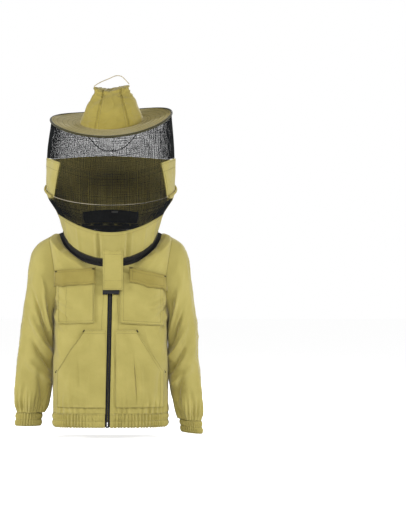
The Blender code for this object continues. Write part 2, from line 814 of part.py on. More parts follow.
def front_tab():
    """A flat tab, sewn to the veil at its top, that closes over both zips."""
    top = Vector((0, TAB_FACE_Y, TAB_TOP_Z))
    lean = Matrix.Rotation(TAB_LEAN, 4, "X")
    tab_size = (TAB_WIDTH, TAB_THICKNESS, TAB_LENGTH)
    tab_place = (TAB_SHIFT, TAB_THICKNESS / 2, -TAB_LENGTH / 2)
    hook_y = TAB_THICKNESS + GAP + HOOK_SIZE[1] / 2
    hook_z = HOOK_SIZE[2] / 2 - TAB_LENGTH - HOOK_DROP
    tab = box("front_tab", tab_size, tab_place, KHAKI, None, 0.0006)
    hook = box("front_tab_hook", HOOK_SIZE, (HOOK_SHIFT, hook_y, hook_z), BLACK, None, 0.0003)
    for piece in (tab, hook):
        piece.data.transform(Matrix.Translation(top) @ lean @ Matrix.Translation(piece.location))
        piece.location = (0, 0, 0)
        set_origin(piece, top)


def front_loops():
    """The loop tape patches beside the zip that the front tab's hook strip grips."""
    inner, outer, low, high = LOOP_PATCH
    heights = (low, low, high, high)
    patch("front_loop_left", (inner, outer, *heights), GAP, 0.0010, BLACK, (3, 3))
    patch("front_loop_right", (-outer, -inner, *heights), GAP, 0.0010, BLACK, (3, 3))


REAR_TAB_HALF = 0.035
REAR_TAB_PATH = [
    # distance out from the back's middle line, height
    (0.1550, 0.6880),
    (0.1360, 0.6500),
    (0.1200, 0.6230),
    (0.1165, 0.5960),
]


def strip(name, path, half_width, thickness, colour, count):
    """A strip of webbing along a path in Y and Z, seen from behind."""
    length = range(len(path))
    rows = []
    for t in np.linspace(len(path) - 1, 0, count):
        y, z = through(length, path, t)
        rows.append([Vector((x, y, z)) for x in (half_width, 0.0, -half_width)])
    return sheet(name, rows, thickness, colour)


def rear_tab():
    """Its top is sewn to the hood; the free end closes over the back of the neck zip."""
    free = strip("rear_tab", REAR_TAB_PATH, REAR_TAB_HALF, 0.0016, KHAKI, 9)
    set_origin(free, (0, REAR_TAB_PATH[0][0], REAR_TAB_PATH[0][1]))
    inside = [(y - 0.0028, z) for y, z in REAR_TAB_PATH[2:]]
    hook = strip("rear_tab_hook", inside, REAR_TAB_HALF - 0.004, 0.0010, BLACK, 3)
    set_origin(hook, (0, REAR_TAB_PATH[0][0], REAR_TAB_PATH[0][1]))


def rear_loop():
    """The loop tape on the back panel that the rear tab's hook strip grips."""
    rows = []
    for t in (0.958, 0.972, 0.986):
        rows.append([torso_point(90 + a, t) for a in np.linspace(-15, 19, 7)])
    out = [[p + Vector((0, 0.0016, 0.0009)) for p in row] for row in rows]
    sheet("rear_loop_patch", out, 0.0010, BLACK)


def inside_hood(name, low, high, start, end, depth, thickness, colour, columns):
    """A piece that lies against the inside of the hood's back, depth in from its outer face."""
    rows = []
    for s in np.linspace(low, high, 3):
        row = []
        for a in np.linspace(start, end, columns):
            here = veil_point(90 + a, s)
            along = veil_point(91 + a, s) - veil_point(89 + a, s)
            up = veil_point(90 + a, s + 0.02) - veil_point(90 + a, s)
            row.append(here - along.cross(up).normalized() * depth)
        rows.append(row)
    return sheet(name, rows, thickness, colour)


def neck_facing():
    """A black strip inside the hood above the back of the neck, and the blank size label on it."""
    inside_hood("back_neck_facing", 0.03, 0.17, -33, 33, VEIL_CLOTH + 0.0010, 0.0010, BLACK, 13)
    inside_hood("size_label", 0.09, 0.15, -8, 2, VEIL_CLOTH + 0.0030, 0.0006, GREY, 3)


CHIN_ROUTE = [
    (0.0860, 0.010, 0.9400),
    (0.0850, 0.012, 0.9200),
    (0.0640, 0.004, 0.8850),
    (0.0300, -0.010, 0.8560),
    (0.0000, -0.014, 0.8500),
    (-0.0300, -0.010, 0.8560),
    (-0.0600, 0.004, 0.8850),
    (-0.0790, 0.012, 0.9100),
    (-0.0800, 0.010, 0.9260),
]

# Between the crown's corners: x and z above the line that joins the two ends.
LOOP_RISE = [(-0.038, 0.0085), (-0.008, 0.0200), (0.022, 0.0285), (0.032, 0.0260), (0.045, 0.0140)]


def loop_route():
    """The hanging loop, from 3 mm over one corner of the crown to 3 mm over the other."""
    start = hat_frame() @ crown_point(180, 4.4) + Vector((0, 0, 0.0030))
    end = hat_frame() @ crown_point(0, 4.4) + Vector((0, 0, 0.0030))
    route = [start]
    for x, rise in LOOP_RISE:
        f = (x - start.x) / (end.x - start.x)
        route.append(start.lerp(end, f) + Vector((0, 0, rise)))
    return [*route, end]


def cords():
    cord("chin_elastic", CHIN_ROUTE, 0.0015, BLACK, 44)
    cord("hanging_loop", loop_route(), 0.0013, BEIGE, 30)


def build():
    clear_scene()
    front_panel("front_panel_left", 1)
    front_panel("front_panel_right", -1)
    back_panel()
    hem_bands()
    for side, word, rings in ((1, "left", SLEEVE_LEFT), (-1, "right", SLEEVE_RIGHT)):
        sleeve(side, word, rings)
        cuff(side, word, rings)
        neck_slider(side, word)
        hand_pocket("hand_pocket_" + word, side)
    neck_zip()
    front_zip()
    front_slider(0.452)
    front_pull(0.452)
    chest_pockets()
    chest_flaps()
    veil()
    hoop()
    brim()
    binding()
    crown()
    sweatband()
    front_tab()
    front_loops()
    rear_tab()
    rear_loop()
    neck_facing()
    cords()


build()
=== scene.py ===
import math
import bmesh
import bpy
import numpy as np
from mathutils import Matrix, Vector
from mathutils.bvhtree import BVHTree


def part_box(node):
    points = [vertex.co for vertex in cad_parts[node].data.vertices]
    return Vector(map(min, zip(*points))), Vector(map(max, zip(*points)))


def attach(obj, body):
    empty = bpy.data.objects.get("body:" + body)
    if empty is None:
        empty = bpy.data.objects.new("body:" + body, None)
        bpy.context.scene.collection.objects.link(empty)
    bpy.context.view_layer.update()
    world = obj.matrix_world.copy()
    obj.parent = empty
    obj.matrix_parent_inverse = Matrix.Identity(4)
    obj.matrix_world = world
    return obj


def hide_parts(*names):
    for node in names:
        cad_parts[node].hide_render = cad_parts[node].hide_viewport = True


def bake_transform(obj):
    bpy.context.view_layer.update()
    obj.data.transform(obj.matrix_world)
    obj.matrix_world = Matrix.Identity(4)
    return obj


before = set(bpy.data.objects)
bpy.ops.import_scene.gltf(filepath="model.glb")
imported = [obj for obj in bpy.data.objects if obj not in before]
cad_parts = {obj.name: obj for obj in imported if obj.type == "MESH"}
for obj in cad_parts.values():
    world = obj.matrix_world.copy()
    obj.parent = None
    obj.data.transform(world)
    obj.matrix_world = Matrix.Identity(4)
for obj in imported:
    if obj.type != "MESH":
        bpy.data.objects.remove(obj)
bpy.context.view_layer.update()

scene = bpy.context.scene

# camera first, then the cords
cameraRig = {"place": (0.0, -5.80, 0.40), "aim": (0.287, 0.0, 0.519), "lens": 130.2, "sensor": 36.0}


def placed(name, data, place, aim):
    made = bpy.data.objects.new(name, data)
    scene.collection.objects.link(made)
    made.location = place
    made.rotation_euler = (Vector(aim) - Vector(place)).to_track_quat("-Z", "Y").to_euler()
    return made


def makeCamera():
    lens = bpy.data.cameras.new("camera")
    lens.lens = cameraRig["lens"]
    lens.sensor_width = cameraRig["sensor"]
    scene.camera = placed("camera", lens, cameraRig["place"], cameraRig["aim"])


makeCamera()
print("camera set")


# curves and rings the garment is cut to
def levelSlopes(stops, values):
    shape = (-1,) + (1,) * (values.ndim - 1)
    rises = np.diff(values, axis=0) / np.diff(stops).reshape(shape)
    slopes = np.zeros_like(values)
    slopes[0], slopes[-1] = rises[0], rises[-1]
    product = rises[:-1] * rises[1:]
    safe = np.where(product > 0, rises[:-1] + rises[1:], 1.0)
    slopes[1:-1] = np.where(product > 0, 2 * product / safe, 0.0)
    return slopes


def hermite(f, width, a, b, slopeA, slopeB):
    early = (2 * f**3 - 3 * f**2 + 1) * a + (f**3 - 2 * f**2 + f) * width * slopeA
    return early + (3 * f**2 - 2 * f**3) * b + (f**3 - f**2) * width * slopeB


def through(stops, values, t):
    # values: (stops, ..., 3) and t: (...); a smooth curve through the stops
    stops = np.asarray(stops, float)
    values = np.asarray(values, float)
    t = np.asarray(t, float)
    slopes = levelSlopes(stops, values)
    i = np.clip(np.searchsorted(stops, t) - 1, 0, len(stops) - 2)
    width = stops[i + 1] - stops[i]
    f = ((t - stops[i]) / width)[..., None]
    width = width[..., None]

    def pick(table, index):
        wide = np.broadcast_to(table, (table.shape[0],) + t.shape + (table.shape[-1],))
        return np.take_along_axis(wide, index[None, ..., None], axis=0)[0]

    return hermite(f, width, pick(values, i), pick(values, i + 1), pick(slopes, i), pick(slopes, i + 1))


def ease(low, high, value):
    f = np.clip((value - low) / (high - low), 0.0, 1.0)
    return f * f * (3 - 2 * f)


def grid(rows, columns):
    return np.meshgrid(rows, columns, indexing="ij")


def cosSin(angle):
    a = np.radians(np.asarray(angle, float))
    return np.cos(a), np.sin(a)


def ringPoint(ring, angle, squareness=2.0):
    halfWidth, front, back, zSide, zFront, zBack = ring
    c, s = cosSin(angle)
    power = 2 / squareness
    x = halfWidth * np.sign(c) * np.abs(c) ** power
    y = np.where(s > 0, back, front) * np.sign(s) * np.abs(s) ** power
    z = zSide * c * c + np.where(s > 0, zBack, zFront) * s * s
    return np.stack([x, y, z], -1)


jacket = {
    "hem": 0.041,
    "squareness": 2.8,
    "cloth": 0.0011,
    # half width, front depth, back depth, then height at side, front and back
    "rings": [
        (0.176, 0.122, 0.120, 0.0416, 0.0416, 0.0416),
        (0.179, 0.122, 0.126, 0.140, 0.140, 0.140),
        (0.177, 0.122, 0.126, 0.270, 0.270, 0.270),
        (0.179, 0.122, 0.122, 0.360, 0.350, 0.370),
        (0.187, 0.122, 0.116, 0.470, 0.420, 0.470),
        (0.190, 0.117, 0.108, 0.562, 0.470, 0.560),
    ],
    "stops": [0.0, 0.18, 0.42, 0.58, 0.78, 0.93, 1.0],
    "armholeLow": 0.56,
    "armholeHigh": 0.95,
    "armholeAngle": 30.0,
    "zipLean": 0.020,
    "zipTopX": -0.0005,
    "zipTopZ": 0.468,
    "zipSlot": 0.0070,
    "shoulder": 0.016,
}
neck = {
    "radius": 0.1455,
    "z": 0.600,
    "tilt": math.radians(43),
    "backDepth": 0.100,
    "backRise": 0.012,
    "tape": 0.0107,
}
veil = {
    "low": (0.164, 0.162, 0.150, 0.655, 0.594, 0.690),
    "band": (0.199, 0.200, 0.203, 0.830, 0.772, 0.852),
    "stops": [0.0, 0.24, 0.47, 0.66, 1.0],
    "hoopRadius": 0.2000,
    "hoopZ": 0.734,
    "hoopTilt": math.radians(17.6),
    "cloth": 0.0009,
}
hat = {
    "centre": (0.0030, 0.0, 0.938),
    "tilt": math.radians(16.5),
    "roll": math.radians(4.0),
    "halfWidth": 0.1900,
    "halfLength": 0.2020,
    "saddle": 0.025,
    "board": 0.0030,
    "binding": 0.0036,
    "crownRadius": 0.1000,
    "bandRadius": 0.0936,
}


def neckPoint(angle):
    c, s = cosSin(angle)
    front = s <= 0
    y = np.where(front, neck["radius"] * math.cos(neck["tilt"]), neck["backDepth"]) * s
    z = np.where(front, neck["radius"] * math.sin(neck["tilt"]), neck["backRise"]) * s
    return np.stack([neck["radius"] * c, y, neck["z"] + z], -1)


def neckUp(angle):
    c, s = cosSin(angle)
    front = np.array([0.0, -math.sin(neck["tilt"]), math.cos(neck["tilt"])])
    share = ease(-0.02, 0.75, s)[..., None]
    up = front * (1 - share) + np.array([0.0, 0.05, 1.0]) * share
    return up / np.linalg.norm(up, axis=-1, keepdims=True)


def hoopPoint(angle, radius=None):
    c, s = cosSin(angle)
    r = veil["hoopRadius"] if radius is None else radius
    tilt = veil["hoopTilt"]
    return np.stack([r * c, r * s * math.cos(tilt), veil["hoopZ"] + r * s * math.sin(tilt)], -1)


hatFrame = Matrix.Translation(hat["centre"]) @ Matrix.Rotation(-hat["roll"], 4, "Y")
hatFrame = np.array(hatFrame @ Matrix.Rotation(hat["tilt"], 4, "X"))


def inHat(points):
    return points @ hatFrame[:3, :3].T + hatFrame[:3, 3]


def brimLocal(angle, scale=1.0, lift=0.0):
    c, s = cosSin(angle)
    x = hat["halfWidth"] * c * scale
    y = hat["halfLength"] * s * scale
    return np.stack([x, y, hat["saddle"] * (c * scale) ** 2 + lift + 0 * x], -1)


def torsoPoint(angle, t):
    angle, t = np.broadcast_arrays(np.asarray(angle, float), np.asarray(t, float))
    rings = [ringPoint(r, angle, jacket["squareness"]) for r in jacket["rings"]]
    rings.append(neckPoint(angle) - neckUp(angle) * (neck["tape"] + 0.0004))
    p = through(jacket["stops"], rings, t)
    # the shoulders stand a little fuller than the frame, out to the sleeve heads
    full = ease(0.86, 0.95, t) * (1 - ease(0.965, 1.0, t)) * ease(0.06, 0.12, np.abs(p[..., 0]))
    p[..., 2] += jacket["shoulder"] * full
    return p


def veilPoint(angle, s):
    angle, s = np.broadcast_arrays(np.asarray(angle, float), np.asarray(s, float))
    rings = [
        neckPoint(angle) + neckUp(angle) * (neck["tape"] + 0.0006),
        ringPoint(veil["low"], angle),
        hoopPoint(angle),
        ringPoint(veil["band"], angle),
        inHat(brimLocal(angle, 0.985, -hat["board"] - 0.0006)),
    ]
    return through(veil["stops"], rings, s)


def armhole(t):
    low, high = jacket["armholeLow"], jacket["armholeHigh"]
    f = np.clip((t - low) / (high - low), 0, 1)
    return jacket["armholeAngle"] * np.sin(np.pi * f) ** 0.6


def zipX(z):
    return jacket["zipTopX"] - (jacket["zipTopZ"] - z) * jacket["zipLean"]


# wrinkles: soft rumples from a few seeded waves, and creases along listed lines
def rumple(p, size, seed, stretch=(1.0, 1.0, 1.0)):
    # 1 on ridges and -1 in hollows, about size apart
    rng = np.random.default_rng(seed)
    q = p / np.array(stretch)
    total = 0
    warp = 0
    for k in range(3):
        way = rng.normal(size=3)
        way *= 2 * math.pi / (size * 2.3) / np.linalg.norm(way)
        warp = warp + np.sin(q @ way + rng.uniform(0, 6.28))
    for k in range(5):
        way = rng.normal(size=3)
        way *= 2 * math.pi / (size * rng.uniform(0.8, 1.5)) / np.linalg.norm(way)
        total = total + np.sin(q @ way + rng.uniform(0, 6.28) + 0.9 * warp)
    return total / 3.2


def ridged(value):
    return 1 - 2 * np.sqrt(np.abs(value).clip(0, 1))


def creases(a, b, lines):
    # each line, in mm: start a and b, end a and b, half width, height; fades towards its ends
    total = np.zeros(np.broadcast(a, b).shape)
    for a0, b0, a1, b1, width, height in np.array(lines) / 1000:
        da, db = a1 - a0, b1 - b0
        length2 = da * da + db * db
        f = ((a - a0) * da + (b - b0) * db) / length2
        near = np.clip(f, 0, 1)
        away = np.hypot(a - a0 - near * da, b - b0 - near * db)
        fade = ease(-0.12, 0.3, f) * (1 - ease(0.7, 1.12, f))
        total += height * np.exp(-((away / width) ** 2)) * fade
    return total


def gridNormals(p, closed=False):
    wrapped = np.concatenate([p[:, -1:], p, p[:, :1]], 1) if closed else p
    across = np.gradient(wrapped, axis=1)
    up = np.gradient(wrapped, axis=0)
    n = np.cross(across, up)
    n /= np.linalg.norm(n, axis=-1, keepdims=True) + 1e-12
    return n[:, 1:-1] if closed else n


def pushed(p, height, closed=False):
    return p + gridNormals(p, closed) * height[..., None]


# meshes
def gridCells(rows, columns, closed=False):
    # every cell's row and column, and its face
    i, j = grid(np.arange(rows - 1), np.arange(columns if closed else columns - 1))
    k = (j + 1) % columns
    faces = np.stack([i * columns + j, i * columns + k, (i + 1) * columns + k, (i + 1) * columns + j], -1)
    return i, j, faces.reshape(-1, 4)


def gridMesh(name, p, closed=False):
    mesh = bpy.data.meshes.new(name)
    i, j, faces = gridCells(*p.shape[:2], closed)
    mesh.from_pydata(p.reshape(-1, 3).tolist(), [], faces.tolist())
    # the UV map is in metres: along the columns, then up the rows
    steps = np.linalg.norm(np.diff(p, axis=1), axis=-1).mean(0)
    u = np.concatenate([[0], np.cumsum(steps)])
    rise = np.linalg.norm(np.diff(p, axis=0), axis=-1).mean(1)
    v = np.concatenate([[0], np.cumsum(rise)])
    uEnd = u[-1] + steps.mean()
    corners = np.stack([i, j, i, j + 1, i + 1, j + 1, i + 1, j], -1).reshape(-1, 4, 2)
    wide = np.append(u, uEnd)
    uv = np.stack([wide[corners[..., 1]], v[corners[..., 0]]], -1)
    layer = mesh.uv_layers.new(name="cloth")
    layer.data.foreach_set("uv", uv.reshape(-1).astype(np.float32))
    mesh.shade_smooth()
    mesh.update()
    return mesh


def addObject(name, data, material=None):
    made = bpy.data.objects.new(name, data)
    scene.collection.objects.link(made)
    if material is not None:
        data.materials.clear()
        data.materials.append(material)
    return made


def applied(made):
    # turns the object with its modifiers into a plain mesh
    graph = bpy.context.evaluated_depsgraph_get()
    mesh = bpy.data.meshes.new_from_object(made.evaluated_get(graph))
    made.modifiers.clear()
    made.data = mesh
    return made


def clothPiece(name, mesh, thickness, material):
    made = addObject(name, mesh, material)
    wall = made.modifiers.new("thickness", "SOLIDIFY")
    wall.thickness = thickness
    wall.offset = -1
    applied(made)
    made.data.shade_smooth()
    return made


def settle(made, body, slot, *replaced):
    if body:
        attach(made, body)
    if replaced:
        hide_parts(*replaced)


# node groups and materials
def newGroup(name, inputs, outputs):
    group = bpy.data.node_groups.new(name, "ShaderNodeTree")
    for label, kind, value in inputs:
        socket = group.interface.new_socket(name=label, in_out="INPUT", socket_type=kind)
        if value is not None:
            socket.default_value = value
    for label, kind in outputs:
        group.interface.new_socket(name=label, in_out="OUTPUT", socket_type=kind)
    enter = group.nodes.new("NodeGroupInput")
    leave = group.nodes.new("NodeGroupOutput")
    return group, enter, leave


def addNode(tree, kind, inputs=(), **settings):
    node = tree.nodes.new(kind)
    for key, value in settings.items():
        setattr(node, key, value)
    for label, value in dict(inputs).items():
        node.inputs[label].default_value = value
    return node


def maths(tree, operation, a, b=None):
    node = addNode(tree, "ShaderNodeMath", operation=operation)
    for index, value in enumerate((a, b)):
        if value is None:
            continue
        if isinstance(value, (int, float)):
            node.inputs[index].default_value = value
        else:
            tree.links.new(value, node.inputs[index])
    return node.outputs[0]


def twillGroup():
    # diagonal ribs crossed by fine yarns, read in metres of cloth
    group, enter, leave = newGroup(
        "twillWeave",
        [("Vector", "NodeSocketVector", None), ("Rib", "NodeSocketFloat", 0.0011),
         ("Slub", "NodeSocketFloat", 0.5)],
        [("Height", "NodeSocketFloat"), ("Shade", "NodeSocketFloat")],
    )
    link = group.links.new
    apart = addNode(group, "ShaderNodeSeparateXYZ")
    link(enter.outputs["Vector"], apart.inputs[0])
    x, y = apart.outputs[0], apart.outputs[1]
    turnRate = maths(group, "DIVIDE", 6.2832, enter.outputs["Rib"])
    yarnRate = maths(group, "MULTIPLY", turnRate, 1.7)
    diagonal = maths(group, "MULTIPLY", maths(group, "ADD", x, y), turnRate)
    yarn = maths(group, "MULTIPLY", maths(group, "SUBTRACT", x, y), yarnRate)
    ribs = maths(group, "SINE", diagonal)
    yarns = maths(group, "SINE", yarn)
    slub = addNode(group, "ShaderNodeTexNoise", {"Scale": 260.0, "Detail": 3.0})
    link(enter.outputs["Vector"], slub.inputs["Vector"])
    mix = maths(group, "ADD", maths(group, "MULTIPLY", ribs, 0.6), maths(group, "MULTIPLY", yarns, 0.25))
    slubs = maths(group, "MULTIPLY", slub.outputs["Fac"], enter.outputs["Slub"])
    link(maths(group, "ADD", mix, slubs), leave.inputs["Height"])
    cloud = addNode(group, "ShaderNodeTexNoise", {"Scale": 14.0, "Detail": 4.0})
    link(enter.outputs["Vector"], cloud.inputs["Vector"])
    shade = maths(group, "ADD", maths(group, "MULTIPLY", ribs, 0.10), cloud.outputs["Fac"])
    link(shade, leave.inputs["Shade"])
    return group


weave = twillGroup()


def newMaterial(name):
    made = bpy.data.materials.new(name)
    made.use_nodes = True
    return made, made.node_tree, addNode(made.node_tree, "ShaderNodeTexCoord")


def paint(tree, pattern, height, dark, light, bump, depth, finish):
    # the pattern runs from a dark stop to a light one, over a fine relief
    shader = tree.nodes["Principled BSDF"]
    ramp = addNode(tree, "ShaderNodeValToRGB")
    for element, (position, colour) in zip(ramp.color_ramp.elements, (dark, light)):
        element.position = position
        element.color = (*colour, 1)
    tree.links.new(pattern, ramp.inputs["Fac"])
    tree.links.new(ramp.outputs["Color"], shader.inputs["Base Color"])
    relief = addNode(tree, "ShaderNodeBump", {"Strength": bump, "Distance": depth})
    tree.links.new(height, relief.inputs["Height"])
    tree.links.new(relief.outputs["Normal"], shader.inputs["Normal"])
    for label, value in finish.items():
        shader.inputs[label].default_value = value


def clothMaterial(name, light, dark, rib=0.0011, bump=0.25, sheen=0.25):
    made, tree, coordinates = newMaterial(name)
    threads = addNode(tree, "ShaderNodeGroup", {"Rib": rib}, node_tree=weave)
    tree.links.new(coordinates.outputs["UV"], threads.inputs["Vector"])
    finish = {"Roughness": 0.9, "Sheen Weight": sheen, "Sheen Roughness": 0.5, "Specular IOR Level": 0.25}
    shade, height = threads.outputs["Shade"], threads.outputs["Height"]
    paint(tree, shade, height, (0.30, dark), (0.72, light), bump, 0.0003, finish)
    return made


def plainMaterial(name, light, dark, roughness, metallic=0.0, scale=120.0, bump=0.1):
    # moulded or plated pieces, mottled on the piece's own coordinates
    made, tree, coordinates = newMaterial(name)
    noise = addNode(tree, "ShaderNodeTexNoise", {"Scale": scale, "Detail": 4.0})
    tree.links.new(coordinates.outputs["Object"], noise.inputs["Vector"])
    mottle = noise.outputs["Fac"]
    finish = {"Roughness": roughness, "Metallic": metallic}
    paint(tree, mottle, mottle, (0.35, dark), (0.68, light), bump, 0.0002, finish)
    return made


khaki = clothMaterial("khakiTwill", (0.500, 0.430, 0.132), (0.415, 0.352, 0.098))
khakiHat = clothMaterial("khakiTwillHat", (0.450, 0.365, 0.085), (0.370, 0.295, 0.062))
# a darker, more saturated copy of the khaki twill for the chest flaps: painted shade on the same cloth as
# the jacket
shadedKhakiFlap = clothMaterial("khakiTwillFlapPaintedShade", (0.385, 0.315, 0.078), (0.310, 0.250, 0.058))
blackTape = clothMaterial("blackTape", (0.018, 0.018, 0.020), (0.010, 0.010, 0.011), rib=0.0016, sheen=0.08)
blackLoop = clothMaterial("blackLoop", (0.030, 0.030, 0.034), (0.014, 0.014, 0.016), rib=0.0022, bump=0.6)
oliveTape = clothMaterial("oliveBinding", (0.060, 0.055, 0.018), (0.040, 0.036, 0.012))
greyLabel = clothMaterial("greyLabel", (0.30, 0.30, 0.30), (0.24, 0.24, 0.24), rib=0.0006)
netThread = plainMaterial("netThread", (0.022, 0.024, 0.026), (0.012, 0.013, 0.014), 0.9)
netThread.node_tree.nodes["Principled BSDF"].inputs["Specular IOR Level"].default_value = 0.1
blackPlastic = plainMaterial("blackPlastic", (0.020, 0.020, 0.023), (0.012, 0.012, 0.014), 0.62)
platedMetal = plainMaterial("platedMetal", (0.80, 0.79, 0.77), (0.62, 0.61, 0.60), 0.24, 1.0)
beigeCord = plainMaterial("beigeCord", (0.56, 0.47, 0.28), (0.44, 0.36, 0.20), 0.8, 0.0, 900.0, 0.6)
blackElastic = plainMaterial("blackElastic", (0.018, 0.018, 0.019), (0.010, 0.010, 0.011),
                             0.7, 0.0, 900.0, 0.6)
hoopCloth = plainMaterial("hoopCloth", (0.52, 0.47, 0.33), (0.42, 0.37, 0.25), 0.85, 0.0, 500.0, 0.4)
khakiTube = plainMaterial("khakiTube", (0.46, 0.39, 0.12), (0.36, 0.30, 0.085), 0.9, 0.0, 700.0, 0.4)
thread = plainMaterial("khakiThread", (0.22, 0.18, 0.060), (0.14, 0.115, 0.036), 0.85)
blackThread = plainMaterial("blackThread", (0.022, 0.021, 0.016), (0.012, 0.012, 0.010), 0.8)

# cords
chinRoute = [
    (0.0860, 0.010, 0.9400),
    (0.0850, 0.012, 0.9200),
    (0.0640, 0.004, 0.8850),
    (0.0300, -0.010, 0.8560),
    (0.0000, -0.014, 0.8500),
    (-0.0300, -0.010, 0.8560),
    (-0.0600, 0.004, 0.8850),
    (-0.0790, 0.012, 0.9100),
    (-0.0800, 0.010, 0.9260),
]


crown = {
    # half width, half depth, height, lift of the two corners, backward shift
    "rings": [
        (0.0985, 0.0985, 0.0000, 0.00648, 0.000),
        (0.0950, 0.0930, 0.0300, 0.0060, 0.002),
        (0.0830, 0.0740, 0.0700, 0.0030, 0.008),
        (0.0680, 0.0480, 0.0930, 0.0040, 0.016),
        (0.0590, 0.0300, 0.1030, 0.0080, 0.022),
        (0.0480, 0.0120, 0.1010, 0.0120, 0.024),
    ],
    "flare": 0.014,  # how far the sides are pulled straight between base and corners
    "lean": 0.07,
    "cloth": 0.0014,
}


def crownLocal(angle, t):
    angle, t = np.broadcast_arrays(np.asarray(angle, float), np.asarray(t, float))
    table = np.array(crown["rings"])
    wide = np.broadcast_to(table[:, None], (len(table), t.size, 5))
    value = through(np.arange(len(table)), wide, t.ravel())
    halfWidth, halfDepth, height, lift, shift = value.reshape(*t.shape, 5).transpose(-1, *range(t.ndim))
    c, s = cosSin(angle)
    x, y = halfWidth * c + crown["lean"] * height, halfDepth * s + shift
    return np.stack([x, y, height + lift * c * c], -1)


def loopRoute():
    # x and rise above the line between the crown's two corners
    rises = [(-0.038, 0.0085), (-0.008, 0.0200), (0.022, 0.0285), (0.032, 0.0260), (0.045, 0.0140)]
    over = np.array([0, 0, 0.0030])
    start = inHat(crownLocal(180.0, 4.4)) + over
    end = inHat(crownLocal(0.0, 4.4)) + over
    route = [start]
    for x, rise in rises:
        f = (x - start[0]) / (end[0] - start[0])
        route.append(start + (end - start) * f + np.array([0, 0, rise]))
    return np.array([*route, end])


def smoothRoute(points, count):
    points = np.asarray(points, float)
    steps = np.concatenate([[0], np.cumsum(np.linalg.norm(np.diff(points, axis=0), axis=1))])
    slopes = np.gradient(points, steps, axis=0)
    t = np.linspace(0, steps[-1], count)
    i = np.clip(np.searchsorted(steps, t) - 1, 0, len(steps) - 2)
    width = (steps[i + 1] - steps[i])[:, None]
    f = (t - steps[i])[:, None] / width
    return hermite(f, width, points[i], points[i + 1], slopes[i], slopes[i + 1])


def makeCord(name, route, radius, material, replaced):
    curve = bpy.data.curves.new(name, "CURVE")
    curve.dimensions = "3D"
    curve.bevel_depth = radius
    curve.bevel_resolution = 2
    curve.use_fill_caps = True
    spline = curve.splines.new("POLY")
    spline.points.add(len(route) - 1)
    for point, place in zip(spline.points, route):
        point.co = (*place, 1)
    made = addObject(name, curve, material)
    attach(made, "veil")
    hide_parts(replaced)


makeCord("chinElastic", smoothRoute(chinRoute, 60), 0.0015, blackElastic,
         "chin_elastic")
makeCord("hangingLoopCord", smoothRoute(loopRoute(), 40), 0.0013, beigeCord,
         "hanging_loop")


# threads, tubes and stitches by Geometry Nodes
def geometryTree(name, sockets):
    tree = bpy.data.node_groups.new(name, "GeometryNodeTree")
    tree.interface.new_socket(name="Geometry", in_out="INPUT", socket_type="NodeSocketGeometry")
    made = {}
    for label, kind in sockets:
        made[label] = tree.interface.new_socket(name=label, in_out="INPUT", socket_type=kind).identifier
    tree.interface.new_socket(name="Geometry", in_out="OUTPUT", socket_type="NodeSocketGeometry")
    return tree, made, tree.nodes.new("NodeGroupInput"), tree.nodes.new("NodeGroupOutput")


def finishTree(tree, enter, leave, geometry):
    real = tree.nodes.new("GeometryNodeRealizeInstances")
    paint = tree.nodes.new("GeometryNodeSetMaterial")
    tree.links.new(geometry, real.inputs[0])
    tree.links.new(real.outputs[0], paint.inputs["Geometry"])
    tree.links.new(enter.outputs["Finish"], paint.inputs["Material"])
    tree.links.new(paint.outputs[0], leave.inputs[0])


def tubeTree():
    tree, keys, enter, leave = geometryTree(
        "threadTubes",
        [("Radius", "NodeSocketFloat"), ("Sides", "NodeSocketInt"), ("Finish", "NodeSocketMaterial")],
    )
    link = tree.links.new
    path = tree.nodes.new("GeometryNodeMeshToCurve")
    section = tree.nodes.new("GeometryNodeCurvePrimitiveCircle")
    tube = tree.nodes.new("GeometryNodeCurveToMesh")
    tube.inputs["Fill Caps"].default_value = True
    link(enter.outputs["Geometry"], path.inputs["Mesh"])
    link(enter.outputs["Radius"], section.inputs["Radius"])
    link(enter.outputs["Sides"], section.inputs["Resolution"])
    link(path.outputs[0], tube.inputs["Curve"])
    link(section.outputs[0], tube.inputs["Profile Curve"])
    finishTree(tree, enter, leave, tube.outputs[0])
    return tree, keys


def stitchTree():
    tree, keys, enter, leave = geometryTree(
        "rowOfStitches",
        [("Pitch", "NodeSocketFloat"), ("Length", "NodeSocketFloat"), ("Radius", "NodeSocketFloat"),
         ("Finish", "NodeSocketMaterial")],
    )
    link = tree.links.new
    path = tree.nodes.new("GeometryNodeMeshToCurve")
    even = tree.nodes.new("GeometryNodeResampleCurve")
    even.mode = "LENGTH"
    stitch = tree.nodes.new("GeometryNodeMeshCylinder")
    stitch.inputs["Vertices"].default_value = 5
    along = tree.nodes.new("GeometryNodeInputTangent")
    turn = tree.nodes.new("FunctionNodeAlignRotationToVector")
    turn.axis = "Z"
    place = tree.nodes.new("GeometryNodeInstanceOnPoints")
    link(enter.outputs["Geometry"], path.inputs["Mesh"])
    link(path.outputs[0], even.inputs["Curve"])
    link(enter.outputs["Pitch"], even.inputs["Length"])
    link(enter.outputs["Length"], stitch.inputs["Depth"])
    link(enter.outputs["Radius"], stitch.inputs["Radius"])
    link(along.outputs[0], turn.inputs["Vector"])
    link(even.outputs[0], place.inputs["Points"])
    link(stitch.outputs[0], place.inputs["Instance"])
    link(turn.outputs[0], place.inputs["Rotation"])
    finishTree(tree, enter, leave, place.outputs[0])
    return tree, keys


tubes, stitchRows = tubeTree(), stitchTree()


